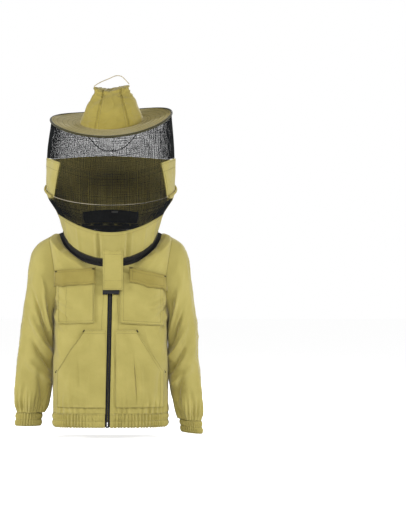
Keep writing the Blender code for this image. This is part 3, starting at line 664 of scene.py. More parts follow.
def linesObject(name, lines, builder, settings):
    # lines: (points, closed) pairs, run through one of the two trees
    points, edges = [], []
    start = 0
    for line, closed in lines:
        count = len(line)
        points.append(line)
        ends = np.arange(start, start + count)
        edges.append(np.stack([ends[:-1], ends[1:]], 1))
        if closed:
            edges.append(np.array([[ends[-1], ends[0]]]))
        start += count
    mesh = bpy.data.meshes.new(name)
    mesh.from_pydata(np.concatenate(points).tolist(), np.concatenate(edges).tolist(), [])
    made = addObject(name, mesh)
    tree, keys = builder
    build = made.modifiers.new("threads", "NODES")
    build.node_group = tree
    for label, value in settings.items():
        build[keys[label]] = value
    applied(made)
    made.data.shade_smooth()
    return made


def makeTubes(name, lines, radius, sides, material):
    return linesObject(name, lines, tubes, {"Radius": radius, "Sides": sides, "Finish": material})


sewnBodies = ("jacket", "veil", "front_tab", "rear_tab", "chest_flap_left", "chest_flap_right",
              "sleeve_left", "sleeve_right")
seams = {body: [] for body in sewnBodies}
tacks = {}
seamThread = {"pitch": 0.0036, "length": 0.0026, "radius": 0.00036, "proud": 0.0002}


def proudOf(p, closed=False):
    # where thread lies on the cloth
    return pushed(p, np.full(p.shape[:2], seamThread["proud"]), closed)


def stitchAlong(body, *lines, closed=False):
    seams[body] += [(np.asarray(line), closed) for line in lines]


# cloth pieces
def arcAlong(p):
    # distance along each row
    steps = np.linalg.norm(np.diff(p, axis=1), axis=-1)
    return np.concatenate([np.zeros((len(p), 1)), np.cumsum(steps, 1)], 1)


def clothSize(p, closed):
    wide = np.concatenate([p, p[:, :1]], 1) if closed else p
    across = np.linalg.norm(np.diff(wide, axis=1), axis=-1).sum(1).max()
    up = np.linalg.norm(np.diff(p, axis=0), axis=-1).sum(0).max()
    cells = np.cross(wide[1:, 1:] - wide[:-1, :-1], wide[1:, :-1] - wide[:-1, 1:])
    return across, up, 0.5 * np.linalg.norm(cells, axis=-1).sum()


def sewn(name, p, body, replaced=(), material=None, slot="khaki_cloth", thickness=None,
         closed=False, spare=1.0, ride=True):
    # spare is how much longer the cut cloth is than its gathered run
    made = clothPiece(name, gridMesh(name, p, closed), thickness or jacket["cloth"], material or khaki)
    settle(made, body if ride else None, slot, *replaced)
    across, up, area = clothSize(p, closed)
    flat = (round(across * spare, 4), round(up, 4))
    if min(flat) < 0.012:  # a narrow tape is trimming and not a sheet
        return made
    area = round(min(area * spare, 0.999 * flat[0] * flat[1]), 6)
    print(name, "cut", flat, "area", area)
    return made


shell = {
    "rows": 168,
    "columns": 118,
    "backColumns": 190,
    "soft": 0.0024, "softSize": 0.120,
    "fine": 0.0010, "fineSize": 0.045,
    "sharp": 0.0016, "sharpSize": 0.075,
    "gather": 0.0040, "gatherPitch": 0.020, "gatherReach": 0.085,
    "calm": 0.020,  # cloth this near the zip lies along the tape
}

# x and z at both ends, half width, height, all in mm
frontFolds = [
    (172, 392, 118, 362, 6, 5), (176, 372, 128, 330, 6, -4.4),
    (178, 352, 140, 296, 7, 5.2), (172, 430, 120, 398, 6, 3.4),
    (150, 520, 106, 500, 7, 3), (168, 300, 150, 210, 8, 3.6),
    (-172, 396, -114, 366, 6, 5), (-176, 374, -126, 332, 6, -4.4),
    (-178, 352, -138, 290, 7, 5.2), (-172, 436, -124, 404, 6, 3.4),
    (-150, 520, -104, 502, 7, 3), (-166, 300, -152, 205, 8, 3.6),
    (60, 60, 52, 180, 10, 3), (-70, 60, -62, 200, 10, 3.6),
    (120, 60, 128, 190, 11, 3.6), (-130, 60, -118, 190, 11, 4),
    (112, 585, 168, 552, 12, 1.8), (100, 570, 166, 530, 10, -1.8),
    (118, 552, 172, 500, 9, 3.4), (-112, 585, -166, 556, 12, 1.8),
    (-100, 572, -164, 534, 10, -1.8), (-112, 556, -172, 506, 9, 3.4),
    (72, 225, 79, 70, 4.5, -5), (88, 200, 94, 70, 6, 4),
    (-100, 215, -92, 110, 6, -3), (148, 180, 140, 70, 6, -4),
]
backFolds = [
    (20, 500, 34, 80, 13, 5), (-30, 480, -52, 70, 14, 6),
    (72, 470, 100, 80, 13, 5.6), (-90, 450, -112, 80, 12, -5),
    (120, 420, 138, 120, 11, 5), (-130, 400, -146, 110, 11, 5.6),
    (-6, 300, -4, 60, 10, -4.4), (52, 330, 66, 60, 10, -4.6),
    (170, 396, 110, 350, 7, 5), (-170, 396, -108, 346, 7, 5),
    (172, 370, 124, 300, 7, -4.4), (-172, 368, -120, 300, 7, -4.4),
    (4, 560, 12, 100, 6, -6), (44, 560, 82, 70, 7, -6.2),
    (-14, 560, -34, 70, 6, -5.8), (-50, 560, -88, 70, 7, -6.6),
    (85, 560, 128, 70, 8, -5.8), (-85, 560, -132, 90, 8, -6),
    (110, 580, 160, 400, 8, 5), (-110, 580, -160, 400, 8, 5),
]


def shellHeight(p, seed, folds, evenness, deep=1.0):
    z = p[..., 2]
    height = shell["soft"] * rumple(p, shell["softSize"], seed, (0.8, 1, 1.6))
    height += shell["fine"] * rumple(p, shell["fineSize"], seed + 1)
    patches = 0.4 + 0.6 * rumple(p, 0.2, seed + 3) ** 2
    height += shell["sharp"] * ridged(rumple(p, shell["sharpSize"], seed + 2, (1, 1, 1.8))) * patches
    height += deep * creases(p[..., 0], z, folds)
    wander = 1.4 * rumple(p, 0.06, seed + 4, (1, 1, 4))
    gathers = np.sin(2 * math.pi * arcAlong(p) / shell["gatherPitch"] + wander)
    gathers *= 0.7 + 0.5 * rumple(p, 0.05, seed + 5, (1, 1, 5))
    fade = (1 - ease(0.0, shell["gatherReach"], z - jacket["hem"])) * evenness
    height += shell["gather"] * gathers * fade
    # pieces are sewn flat at the hem, the neck and their seams
    calm = ease(0.0, 0.012, z - jacket["hem"] + 0.006)
    return height * calm


def frontCloth(name, side, node):
    t, f = grid(np.linspace(0.001, 1, shell["rows"]), np.linspace(0, 1, shell["columns"]))
    z = torsoPoint(np.full_like(t, -90.0), t)[..., 2]
    zipEdge = zipX(z) + side * jacket["zipSlot"]
    angle = -90 + np.degrees(np.arcsin(np.clip(zipEdge / 0.18, -1, 1)))
    for _ in range(14):
        x = torsoPoint(angle, t)[..., 0]
        slope = (torsoPoint(angle + 0.05, t)[..., 0] - x) / 0.05
        angle = np.clip(angle - (x - zipEdge) / np.maximum(slope, 1e-4), -118, -62)
    end = -0.12 - armhole(t) if side > 0 else -179.88 + armhole(t)
    turn = angle + (end - angle) * f if side > 0 else end + (angle - end) * f
    p = torsoPoint(turn, t)
    seed = 11 if side > 0 else 31
    nearZip = np.abs(p[..., 0] - zipX(p[..., 2])) - jacket["zipSlot"]
    seam = f if side > 0 else 1 - f
    evenness = 0.85 + 0.15 * seam if side > 0 else 0.25 + 0.6 * seam
    calm = ease(0.0, shell["calm"], nearZip) * ease(0, 0.03, 1 - seam) * ease(0, 0.05, 1 - t)
    height = shellHeight(p, seed, frontFolds, evenness) * calm
    p = pushed(p, height)
    sewn(name, p, "jacket", [node])
    column = 4 if side > 0 else -5
    stitchAlong("jacket", p[6:-14, column] + np.array([0, -seamThread["proud"], 0]))
    return p


frontLeft = frontCloth("frontClothLeft", 1, "front_panel_left")
frontRight = frontCloth("frontClothRight", -1, "front_panel_right")

t, f = grid(np.linspace(0.001, 1, shell["rows"]), np.linspace(0, 1, shell["backColumns"]))
edge = 0.12 + armhole(t)
p = torsoPoint(edge + (180 - 2 * edge) * f, t)
seam = ease(0, 0.03, f) * ease(0, 0.03, 1 - f) * ease(0, 0.04, 1 - t)
backGrid = pushed(p, shellHeight(p, 51, backFolds, 1.35, 1.35) * seam)
sewn("backCloth", backGrid, "jacket", ["back_panel"])
print("jacket body made")


def gridTree(*grids):
    points, faces = [], []
    start = 0
    for p in grids:
        faces += (start + gridCells(*p.shape[:2])[2]).tolist()
        points += p.reshape(-1, 3).tolist()
        start = len(points)
    return BVHTree.FromPolygons(points, faces)


frontTree = gridTree(frontLeft, frontRight)


def onFront(x, z, lift):
    # points on the front cloth, lifted off it along its normal
    out = np.zeros((*x.shape, 3))
    way = Vector((0, 1, 0))
    for index in np.ndindex(x.shape):
        spot = Vector((x[index], -0.30, z[index]))
        hit, normal, _, _ = frontTree.ray_cast(spot, way)
        if hit is None:
            hit, normal, _, _ = frontTree.find_nearest(Vector((x[index], -0.118, z[index])))
        if normal.y > 0:
            normal = -normal
        out[index] = hit
    normals = gridNormals(out)
    return out + normals * lift[..., None]


# hem band: elastic run through two channels
hem = {
    "rows": 30, "step": 0.0013, "spare": 1.45, "cloth": 0.0022,
    "bulge": 0.0020, "ripple": 0.0030, "pitch": 0.0098, "soft": 0.0018,
    "seams": [2, 14, 27],
}
slotLow = float(zipX(0.02))  # where the zip crosses the hem


def hemBand(name, start, end, node, seed, evenness):
    count = int(abs(end - start) / 360 * 1.02 / hem["step"])
    heights = np.linspace(0.0005, jacket["hem"] + 0.0012, hem["rows"])
    z, angle = grid(heights, np.linspace(start, end, count))
    p = torsoPoint(angle, z * 0)
    p[..., 2] = z
    arc = arcAlong(p)
    channel = np.abs(np.sin(2 * math.pi * (z / jacket["hem"])))
    wander = 1.5 * rumple(p, 0.03, seed, (1, 1, 6)) + 1.2 * rumple(p, 0.08, seed + 1, (1, 1, 6))
    ripples = np.sin(2 * math.pi * arc / hem["pitch"] + wander)
    ends = ease(0, 0.03, arc / arc.max()) * ease(0, 0.03, 1 - arc / arc.max())
    height = hem["bulge"] * channel + hem["ripple"] * ripples * (0.45 + 0.55 * channel) * evenness(p[..., 0])
    height += hem["soft"] * rumple(p, 0.05, seed + 2, (1, 1, 3)) * ends
    # it lies flatter beside the zip
    fromZip = np.abs(p[..., 0] - slotLow) - jacket["zipSlot"]
    height *= np.where(p[..., 1] < 0, 0.3 + 0.7 * ease(0.0, 0.016, fromZip), 1.0)
    p = pushed(p, height)
    p[..., 2] += hem["soft"] * ripples * (1 - ease(0.0, 0.012, z)) * evenness(p[..., 0])
    sewn(name, p, "jacket", [node], thickness=hem["cloth"], spare=hem["spare"])
    stitchAlong("jacket", *proudOf(p)[hem["seams"]])


hemStarts = {}
for side in (1, -1):
    # the angle where the ring meets this side of the zip
    turns = np.linspace(-110, -70, 2001)
    across = torsoPoint(turns, 0.0)[:, 0]
    hemStarts[side] = float(np.interp(slotLow + side * (jacket["zipSlot"] + 0.0006), across, turns))
hemBand("hemClothLeft", hemStarts[1], -0.2, "hem_band_left", 61, lambda x: 1.0 + 0 * x)
hemBand("hemClothRight", -179.8, hemStarts[-1], "hem_band_right", 64,
        lambda x: 0.35 + 0.6 * ease(0.03, 0.12, -x))
hemBand("hemClothBack", 0.2, 179.8, "hem_band_back", 67, lambda x: 1.0 + 0 * x)
print("hem made")

# sleeves and cuffs
sleeveRings = {
    # in mm: outer x and z, inner x and z, half depth, inward tuck of the front and back
    "left": [
        (223, 564, 192, 325, 78, 6),
        (244, 524, 188, 305, 78, 0),
        (254, 460, 185, 285, 73, 0),
        (261, 390, 184, 260, 68, 0),
        (268, 313, 184, 225, 63, 0),
        (276, 220, 185, 175, 60, 0),
        (283, 130, 190, 125, 56, 0),
        (286, 55, 204, 60, 51, 0),
        (281, 15, 216, 22, 40, 0),
    ],
    "right": [
        (224, 564, 192, 325, 78, 6),
        (246, 528, 188, 305, 78, 0),
        (259, 470, 185, 285, 74, 0),
        (266, 400, 184, 260, 68, 0),
        (276, 310, 184, 225, 64, 0),
        (287, 220, 185, 175, 61, 0),
        (296, 140, 188, 125, 57, 0),
        (298, 80, 198, 75, 52, 0),
        (290, 42, 212, 42, 40, 0),
    ],
}
sleeve = {
    "rows": 205, "columns": 168, "girth": 0.42,
    "soft": 0.0026, "softSize": 0.085,
    "sharp": 0.0020, "sharpSize": 0.060,
    "fine": 0.0007, "fineSize": 0.035,
    "slack": 0.0015, "deep": 1.25, "backDeep": 0.85,
    "innerShift": 0.0085, "armpitShift": 0.0075,
    "gather": 0.0034, "gatherPitch": 0.0150, "gatherReach": 0.085,
}
cuff = {
    "rows": 30, "columns": 170, "length": 0.041, "gap": 0.0005, "cloth": 0.0022, "spare": 1.45,
    "radius": 0.045, "bulge": 0.0018, "ripple": 0.0026, "pitch": 0.0088, "seams": [2, 14, 27],
}
# in mm: arc from the outer edge (front is negative) and distance down, at both ends, half width, height
sleeveFolds = {
    "left": [
        (-130, 30, -205, 115, 9, -8), (-110, 50, -180, 150, 11, 7),
        (-95, 130, -205, 205, 11, -10), (-80, 180, -190, 250, 13, 8),
        (-85, 230, -210, 310, 12, -12), (-70, 300, -185, 350, 12, 7.5),
        (-110, 310, -180, 420, 10, -8), (-60, 80, -45, 300, 16, 4),
        (-130, 380, -110, 520, 12, 6), (-90, 360, -80, 520, 9, -5),
        (-40, 300, -50, 530, 13, 5), (-160, 420, -150, 530, 9, -6),
    ],
    "right": [
        (-140, 30, -200, 120, 8, -9), (-110, 40, -175, 150, 10, 7),
        (-70, 100, -200, 190, 11, -10.5), (-60, 160, -190, 235, 13, 8.5),
        (-85, 220, -205, 290, 12, -11.5), (-70, 280, -190, 340, 13, 7.5),
        (-120, 300, -170, 430, 11, -8.5), (-40, 60, -35, 330, 15, 4),
        (-110, 360, -100, 500, 11, 6), (-75, 340, -70, 500, 9, -5),
        (-30, 320, -45, 500, 13, 5), (-150, 400, -145, 500, 9, -6),
    ],
}
backSleeveFolds = [
    (200, 60, 70, 160, 12, 8.5), (200, 120, 60, 235, 11, -7.5),
    (200, 190, 80, 285, 12, 8.5), (190, 270, 50, 320, 10, 7.5),
    (190, 330, 60, 350, 10, -6.5), (170, 390, 60, 370, 10, 7.5),
    (30, 100, 24, 330, 13, 5.5), (120, 400, 100, 500, 11, 6),
]


def sleeveRing(ring, side, phi, grow=0.0):
    outerX, outerZ, innerX, innerZ, depth, tuck = ring
    c, s = cosSin(phi)
    x = (outerX + innerX) / 2 + c * (outerX - innerX) / 2 * (1 + grow)
    z = (outerZ + innerZ) / 2 + c * (outerZ - innerZ) / 2
    return np.stack([side * (x - tuck * s * s), s * depth * (1 + grow), z], -1)


def makeSleeve(word, side, seed):
    rings = np.array(sleeveRings[word]) / 1000
    body = "sleeve_" + word
    phiLine = np.arange(sleeve["columns"]) * 360.0 / sleeve["columns"] * side
    rowStops = np.linspace(len(rings), 0, sleeve["rows"])
    t, phi = grid(rowStops, phiLine)
    c, s = cosSin(phi)
    low, high = jacket["armholeLow"], jacket["armholeHigh"]
    hole = (low + high) / 2 + (high - low) / 2 * c
    opening = armhole(hole) * np.sign(s)
    angle = opening if side > 0 else 180 - opening
    ringPoints = [torsoPoint(angle, hole) - np.array([side * 0.0012, 0, 0])]
    # the inner line moves in towards the body, most of all near the armpit
    moved = rings.copy()
    moved[:, 2] -= sleeve["innerShift"]
    moved[:, 2] -= sleeve["armpitShift"] * np.clip(1 - np.arange(len(rings)) / 3.5, 0, 1)
    ringPoints += [sleeveRing(ring, side, phi) for ring in moved]
    p = through(np.arange(len(ringPoints)), ringPoints, t)
    centre = p.mean(1)
    drop = np.concatenate([[0], np.cumsum(np.linalg.norm(np.diff(centre[::-1], axis=0), axis=-1))])[::-1]
    down = np.broadcast_to(drop[:, None], t.shape)
    around = ((phi + 180) % 360 - 180) / 360 * sleeve["girth"]
    height = sleeve["soft"] * rumple(p, sleeve["softSize"], seed, (1, 1, 2.6)) - sleeve["slack"]
    patches = 0.35 + 0.65 * ease(0.05, 0.6, rumple(p, 0.16, seed + 2))
    height += sleeve["sharp"] * ridged(rumple(p, sleeve["sharpSize"], seed + 1, (1, 1.2, 2.4))) * patches
    height += sleeve["fine"] * rumple(p, sleeve["fineSize"], seed + 3)
    height += sleeve["deep"] * creases(around, down, sleeveFolds[word])
    height += sleeve["backDeep"] * creases(around, down, backSleeveFolds)
    height *= 1 - 0.5 * ease(0.8, 1.0, -c)  # calm where it rests against the body
    wander = 1.5 * rumple(p, 0.05, seed + 4, (1, 1, 4))
    gathers = np.sin(2 * math.pi * around / sleeve["gatherPitch"] + wander)
    toCuff = drop[0] - down
    height += sleeve["gather"] * gathers * (1 - ease(0.0, sleeve["gatherReach"], toCuff))
    height *= ease(0.0, 0.045, down) * (0.35 + 0.65 * ease(0.0, 0.02, toCuff))
    p = pushed(p, height, True)
    made = sewn("sleeveCloth" + word.capitalize(), p, body, ["sleeve_" + word], closed=True, ride=False)
    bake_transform(made)
    stitchAlong("jacket", proudOf(p, True)[-3], closed=True)


def makeCuff(word, side, seed):
    rings = np.array(sleeveRings[word]) / 1000
    along = (rings[-1, :4] - rings[-2, :4]).reshape(2, 2).mean(0)
    along /= np.linalg.norm(along)
    phiLine = np.arange(cuff["columns"]) * 360.0 / cuff["columns"] * side
    f, phi = grid(np.linspace(1, 0, cuff["rows"]), phiLine)
    base = sleeveRing(rings[-1], side, phi, -0.02)
    step = (cuff["gap"] + f * cuff["length"])[..., None]
    p = base + step * np.array([side * along[0], 0, along[1]])
    around = np.radians(phi) * cuff["radius"]
    channel = np.abs(np.sin(2 * math.pi * f))
    ripples = np.sin(2 * math.pi * around / cuff["pitch"] + 1.6 * rumple(p, 0.03, seed, (1, 1, 5)))
    p = pushed(p, cuff["bulge"] * channel + cuff["ripple"] * ripples * (0.45 + 0.55 * channel), True)
    sewn("cuffCloth" + word.capitalize(), p, "sleeve_" + word, ["cuff_" + word],
         thickness=cuff["cloth"], closed=True, spare=cuff["spare"])
    stitchAlong("sleeve_" + word, *proudOf(p, True)[cuff["seams"]], closed=True)


for word, side, seed in (("left", 1, 71), ("right", -1, 83)):
    makeSleeve(word, side, seed)
    makeCuff(word, side, seed + 6)
print("sleeves made")

# neck zip: a band on each side of a coil
neckBand = {
    "width": 0.0174, "gap": 0.0003, "flare": 52, "frontFlare": 12, "proud": 0.0012, "cloth": 0.0010,
    "length": 0.87, "coilLift": 0.0012, "coilRadius": 0.0011, "coilPitch": 0.0019, "thread": 0.00042,
}


def neckCloth(name, low, high, body, replaced):
    f, angle = grid(np.linspace(low, high, 10), np.linspace(0, 360, 620, endpoint=False))
    ring = neckPoint(angle)
    outward = ring * [1, 1, 0]
    outward[..., 1] -= 0.02
    outward /= np.linalg.norm(outward, axis=-1, keepdims=True)
    # the lower tape lies out over the shoulders
    sideways = np.abs(np.cos(np.radians(angle))) ** 1.3
    lean = neckBand["frontFlare"] + (neckBand["flare"] - neckBand["frontFlare"]) * sideways
    lean = np.radians(lean) * (low < -0.001) * ease(0.002, 0.010, -f)
    p = ring + neckUp(angle) * (f * np.cos(lean))[..., None] + outward * (-f * np.sin(lean))[..., None]
    p = pushed(p, neckBand["proud"] + 0.0005 * rumple(p, 0.03, 91), True)
    sewn(name, p, body, replaced, material=blackTape, slot="black_fabric",
         thickness=neckBand["cloth"], closed=True)
    stitchAlong(body, proudOf(p, True)[1 if low < 0 else -2], closed=True)


tapes = ("left", "right", "back")
neckCloth("neckTapeLower", -neckBand["width"], -neckBand["gap"], "jacket",
          ["neck_tape_lower_" + word for word in tapes])
neckCloth("neckTapeUpper", neckBand["gap"], neckBand["width"], "veil",
          ["neck_tape_upper_" + word for word in tapes])
for name, body, side in (("neckCoilLower", "jacket", -1), ("neckCoilUpper", "veil", 1)):
    turns = int(neckBand["length"] / neckBand["coilPitch"])
    angle = np.linspace(0, 360, turns * 7, endpoint=False)
    spin = np.linspace(0, 2 * math.pi * turns, turns * 7, endpoint=False)
    ring = neckPoint(angle)
    base = ring + neckUp(angle) * (side * neckBand["coilLift"])
    outward = np.cross(np.roll(ring, -1, 0) - np.roll(ring, 1, 0), neckUp(angle))
    outward /= np.linalg.norm(outward, axis=-1, keepdims=True)
    lift = 0.0006 + neckBand["proud"] + neckBand["coilRadius"] * 0.6 * np.sin(spin)
    coil = base + outward * lift[:, None]
    coil += neckUp(angle) * (neckBand["coilRadius"] * np.cos(spin))[:, None]
    made = makeTubes(name, [(coil, True)], neckBand["thread"], 4, blackPlastic)
    settle(made, body, "zip_plastic")
print("neck zip made")

# zip tapes, pockets and flaps on the front
def zipTape(word, side):
    low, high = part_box("zip_tape_" + word)
    width = high[0] - low[0] - (high[2] - low[2]) * jacket["zipLean"]
    z, f = grid(np.linspace(low[2], high[2], 150), np.linspace(0, 1, 9))
    # columns run towards the wearer's left
    near = f if side > 0 else f - 1
    x = zipX(z) + side * 0.0010 + near * (width - 0.0010)
    p = np.stack([x, 0 * z + (low[1] + high[1]) / 2 - 0.0005, z], -1)
    sewn("zipTape" + word.capitalize(), p, "jacket", ["zip_tape_" + word], material=blackTape,
         slot="zip_tape", thickness=0.0008)


zipTape("left", 1)
zipTape("right", -1)

pads = {
    "cloth": 0.0011, "step": 0.0024, "fold": 0.0007, "groove": 0.0008,
    "lift": 0.0030, "flapLift": 0.0062, "handLift": 0.0022,
    "puff": 0.0022, "flapPuff": 0.0026, "handPuff": 0.0010,
    "insets": (0.0030, 0.0090),  # two rows of stitches round each
}


def padPiece(name, x, z, body, replaced, lift, seed, puff, spread=None, seamsOn=(1, 1, 1, 1), material=None):
    # x and z: grids, columns towards the wearer's left and rows upwards
    width = np.abs(x[:, -1] - x[:, 0])[:, None]
    tall = np.abs(z[-1] - z[0]).mean()
    f = np.linspace(0, 1, x.shape[1])[None, :]
    g = np.linspace(0, 1, x.shape[0])[:, None]
    sides = [f * width, (1 - f) * width, g * tall + 0 * f, (1 - g) * tall + 0 * f]
    edge = np.minimum.reduce([s + 0 * x for s in sides])
    soft = 0.6 + 0.5 * rumple(onFront(x, z, 0 * x), 0.05, seed)
    height = lift + pads["cloth"] + puff * ease(0.003, 0.03, edge) * soft
    height += pads["fold"] * (1 - ease(0.004, 0.007, edge))  # the folded edge is two cloths thick
    height -= pads["groove"] * np.exp(-(((edge - pads["insets"][0]) / 0.0010) ** 2))
    if spread is not None:
        height = height + spread(f, g, x, z)
    p = onFront(x, z, height)
    sewn(name, p, body, replaced, material=material)
    stepX, stepZ = np.linalg.norm(p[0, 1] - p[0, 0]), np.linalg.norm(p[1, 0] - p[0, 0])
    q = proudOf(p)
    for inset in pads["insets"]:
        c, r = max(1, round(inset / stepX)), max(1, round(inset / stepZ))
        lines = (q[r:-r, c], q[r:-r, -1 - c], q[r, c:-c], q[-1 - r, c:-c])
        stitchAlong(body, *(line for line, wanted in zip(lines, seamsOn) if wanted))
    return p


def quadGrid(corners):
    x0, x1, low0, low1, top0, top1 = corners
    columns = int(abs(x1 - x0) / pads["step"]) + 1
    rows = int(abs(top0 - low0) / pads["step"]) + 1
    g, f = grid(np.linspace(0, 1, rows), np.linspace(0, 1, columns))
    low = low0 + (low1 - low0) * f
    top = top0 + (top1 - top0) * f
    return x0 + (x1 - x0) * f, low + (top - low) * g


pocketCorners = {
    # x from, x to, bottom at each end, top at each end
    "left": (0.029, 0.160, 0.318, 0.310, 0.474, 0.450),
    "right": (-0.160, -0.050, 0.315, 0.319, 0.470, 0.472),
}
flapCorners = {
    "left": (0.056, 0.167, 0.443, 0.417, 0.487, 0.465),
    "right": (-0.167, -0.046, 0.430, 0.437, 0.480, 0.484),
}
penSlotX = -0.132
bartack = {"length": 0.0075, "rows": 4, "pitch": 0.0010, "stitch": 0.0012, "radius": 0.00045}


def tackAt(body, p, way):
    # a few close rows of thread across a stress point
    along = np.asarray(way, float)
    across = np.cross(along, (0, -1, 0))
    for k in range(bartack["rows"]):
        start = p + across * (k - 1.5) * bartack["pitch"] + np.array([0, -0.0006, 0])
        line = np.linspace(start - along * bartack["length"] / 2, start + along * bartack["length"] / 2, 4)
        tacks.setdefault(body, []).append((line, False))


for word, side in (("left", 1), ("right", -1)):
    x, z = quadGrid(pocketCorners[word])
    p = padPiece("chestPocketCloth" + word.capitalize(), x, z, "jacket", ["chest_pocket_" + word],
                 pads["lift"], 101 + side, pads["puff"], seamsOn=(1, 1, 1, 0))
    if side < 0:
        stitchAlong("jacket", proudOf(p)[2:-2, np.argmin(np.abs(x[0] - penSlotX))])

    def flapSpread(f, g, x, _):
        # the free edge curls and waves, and the hinge side lies flat
        wave = np.sin(f * 9.0 + side) * 0.0012 + np.sin(f * 21.0 + 2 * side) * 0.0006
        groove = 0.0012 * np.exp(-(((x - penSlotX) / 0.0011) ** 2)) if side < 0 else 0
        return (1 - g) * (0.0016 + wave) - groove

    x, z = quadGrid(flapCorners[word])
    waves = 0.0016 * np.sin(x * 90 + side) - 0.0010 * np.cos(x * 170)
    z = z + (1 - (z - z.min(0)) / (z.max(0) - z.min(0))) * waves
    body = "chest_flap_" + word
    # the flaps take the darker copy of the twill, which paints shade on them
    p = padPiece("chestFlapCloth" + word.capitalize(), x, z, body, [body], pads["flapLift"],
                 111 + side, pads["flapPuff"], spread=flapSpread, material=shadedKhakiFlap)
    for column in (3, -4):
        tackAt(body, p[-3, column], (1, 0, 0))

handPocket = {
    "low": 0.062, "high": 0.297, "inner": 0.0155, "outer": 0.163, "bend": 0.170, "slope": 0.66,
    "columns": 60, "gape": {"left": 0.0028, "right": 0.0052},
}
for word, side in (("left", 1), ("right", -1)):
    rows = int((handPocket["high"] - handPocket["low"]) / pads["step"])
    heights = np.linspace(handPocket["low"], handPocket["high"], rows)
    z, f = grid(heights, np.linspace(0, 1, handPocket["columns"]))
    outer = handPocket["outer"] - np.maximum(z - handPocket["bend"], 0) * handPocket["slope"]
    away = f if side > 0 else 1 - f
    x = side * (handPocket["inner"] + (outer - handPocket["inner"]) * away)
    gape = handPocket["gape"][word]

    def opened(f, _, __, z):
        along = np.clip((z - handPocket["bend"]) / (handPocket["high"] - handPocket["bend"]), 0, 1)
        out = f if side > 0 else 1 - f
        return gape * np.sin(np.pi * along) * ease(0.72, 1.0, out)

    p = padPiece("handPocketCloth" + word.capitalize(), x, z, "jacket", ["hand_pocket_" + word],
                 pads["handLift"], 121 + side, pads["handPuff"], spread=opened,
                 seamsOn=(side < 0, side > 0, 0, 1))
    bend = int(rows * (handPocket["bend"] - handPocket["low"]) / (handPocket["high"] - handPocket["low"]))
    edge = -1 if side > 0 else 0
    tackAt("jacket", p[bend, edge], (side * 0.5, 0, -0.86))
    tackAt("jacket", p[-2, edge], (side * 0.5, 0, -0.86))
print("pockets made")

# tabs, hook and loop tape
frontTab = {
    "width": 0.061, "length": 0.122, "top": 0.541, "face": -0.1390, "lean": math.radians(2.6),
    "shift": 0.0070, "cloth": 0.0015, "fold": 0.012, "seam": 0.0032, "topIn": 0.0085, "bend": 0.034,
    "hook": (0.050, 0.027), "hookShift": 0.0010, "hookIn": 0.0022, "hookCloth": 0.0012, "drop": 0.012,
}


def onTab(x, down, depth):
    lean = frontTab["lean"]
    y = frontTab["face"] + depth * math.cos(lean) + down * math.sin(lean)
    z = frontTab["top"] - down * math.cos(lean) + depth * math.sin(lean)
    return np.stack([x + 0 * down, y + 0 * x, z + 0 * x], -1)


down, f = grid(np.linspace(frontTab["length"], 0, 62), np.linspace(-0.5, 0.5, 34))
x = frontTab["shift"] + f * frontTab["width"]
# its top end bends in to the hood, where it is sewn down
p = onTab(x, down, frontTab["topIn"] * (1 - ease(0.0, frontTab["bend"], down)))
edge = np.minimum.reduce([(0.5 - np.abs(f)) * frontTab["width"], frontTab["length"] - down, down])
height = 0.0010 * rumple(p, 0.05, 131) + 0.0006 * (1 - ease(0.004, 0.007, edge))
height -= 0.0007 * np.exp(-(((edge - frontTab["seam"]) / 0.0010) ** 2))
height -= 0.0012 * np.exp(-(((down - frontTab["fold"]) / 0.0012) ** 2))
tabGrid = pushed(p, height)
sewn("frontTabCloth", tabGrid, "front_tab", ["front_tab"], thickness=frontTab["cloth"])
q = proudOf(tabGrid)
stitchAlong("front_tab", q[2:-2, 2], q[2:-2, -3], q[2, 2:-2], q[-3, 2:-2], q[-8, 2:-2], q[14, 2:-2])
hookWide, hookTall = frontTab["hook"]
hookLow = frontTab["length"] + frontTab["drop"]
across = np.linspace(-0.5, 0.5, 26) * hookWide + frontTab["hookShift"]
down, x = grid(np.linspace(hookLow, hookLow - hookTall, 16), across)
sewn("frontTabHookTape", onTab(x, down, frontTab["hookIn"]), "front_tab", ["front_tab_hook"],
     material=blackLoop, slot="black_fabric", thickness=frontTab["hookCloth"])


loops = {"low": 0.405, "high": 0.432, "inner": 0.010, "outer": 0.024, "lift": 0.0016, "cloth": 0.0010}


def loopTape(word, x0, x1):
    z, x = grid(np.linspace(loops["low"], loops["high"], 14), np.linspace(x0, x1, 9))
    sewn("frontLoopTape" + word, onFront(x, z, 0 * x + loops["lift"]), "jacket",
         ["front_loop_" + word.lower()], material=blackLoop, slot="black_fabric", thickness=loops["cloth"])


loopTape("Left", loops["inner"], loops["outer"])
loopTape("Right", -loops["outer"], -loops["inner"])

rearTab = {
    # y and z down its middle, from the hood to the jacket
    "path": [(0.1550, 0.6880), (0.1360, 0.6500), (0.1165, 0.6230), (0.1120, 0.5960)],
    "half": 0.035, "cloth": 0.0015, "hookHalf": 0.031, "hookIn": 0.0026, "hookCloth": 0.0010,
    "patchStops": (0.968, 0.990), "patchTurns": (83.5, 97.5),
}


def rearStrip(start, end, half, inward, rows, columns):
    t, f = grid(np.linspace(end, start, rows), np.linspace(1, -1, columns))
    path = np.array([(0.0, y, z) for y, z in rearTab["path"]])
    p = through(np.arange(4), np.broadcast_to(path[:, None], (4, t.size, 3)), t.ravel()).reshape(*t.shape, 3)
    p[..., 0] = f * half
    p[..., 1] -= inward
    return p


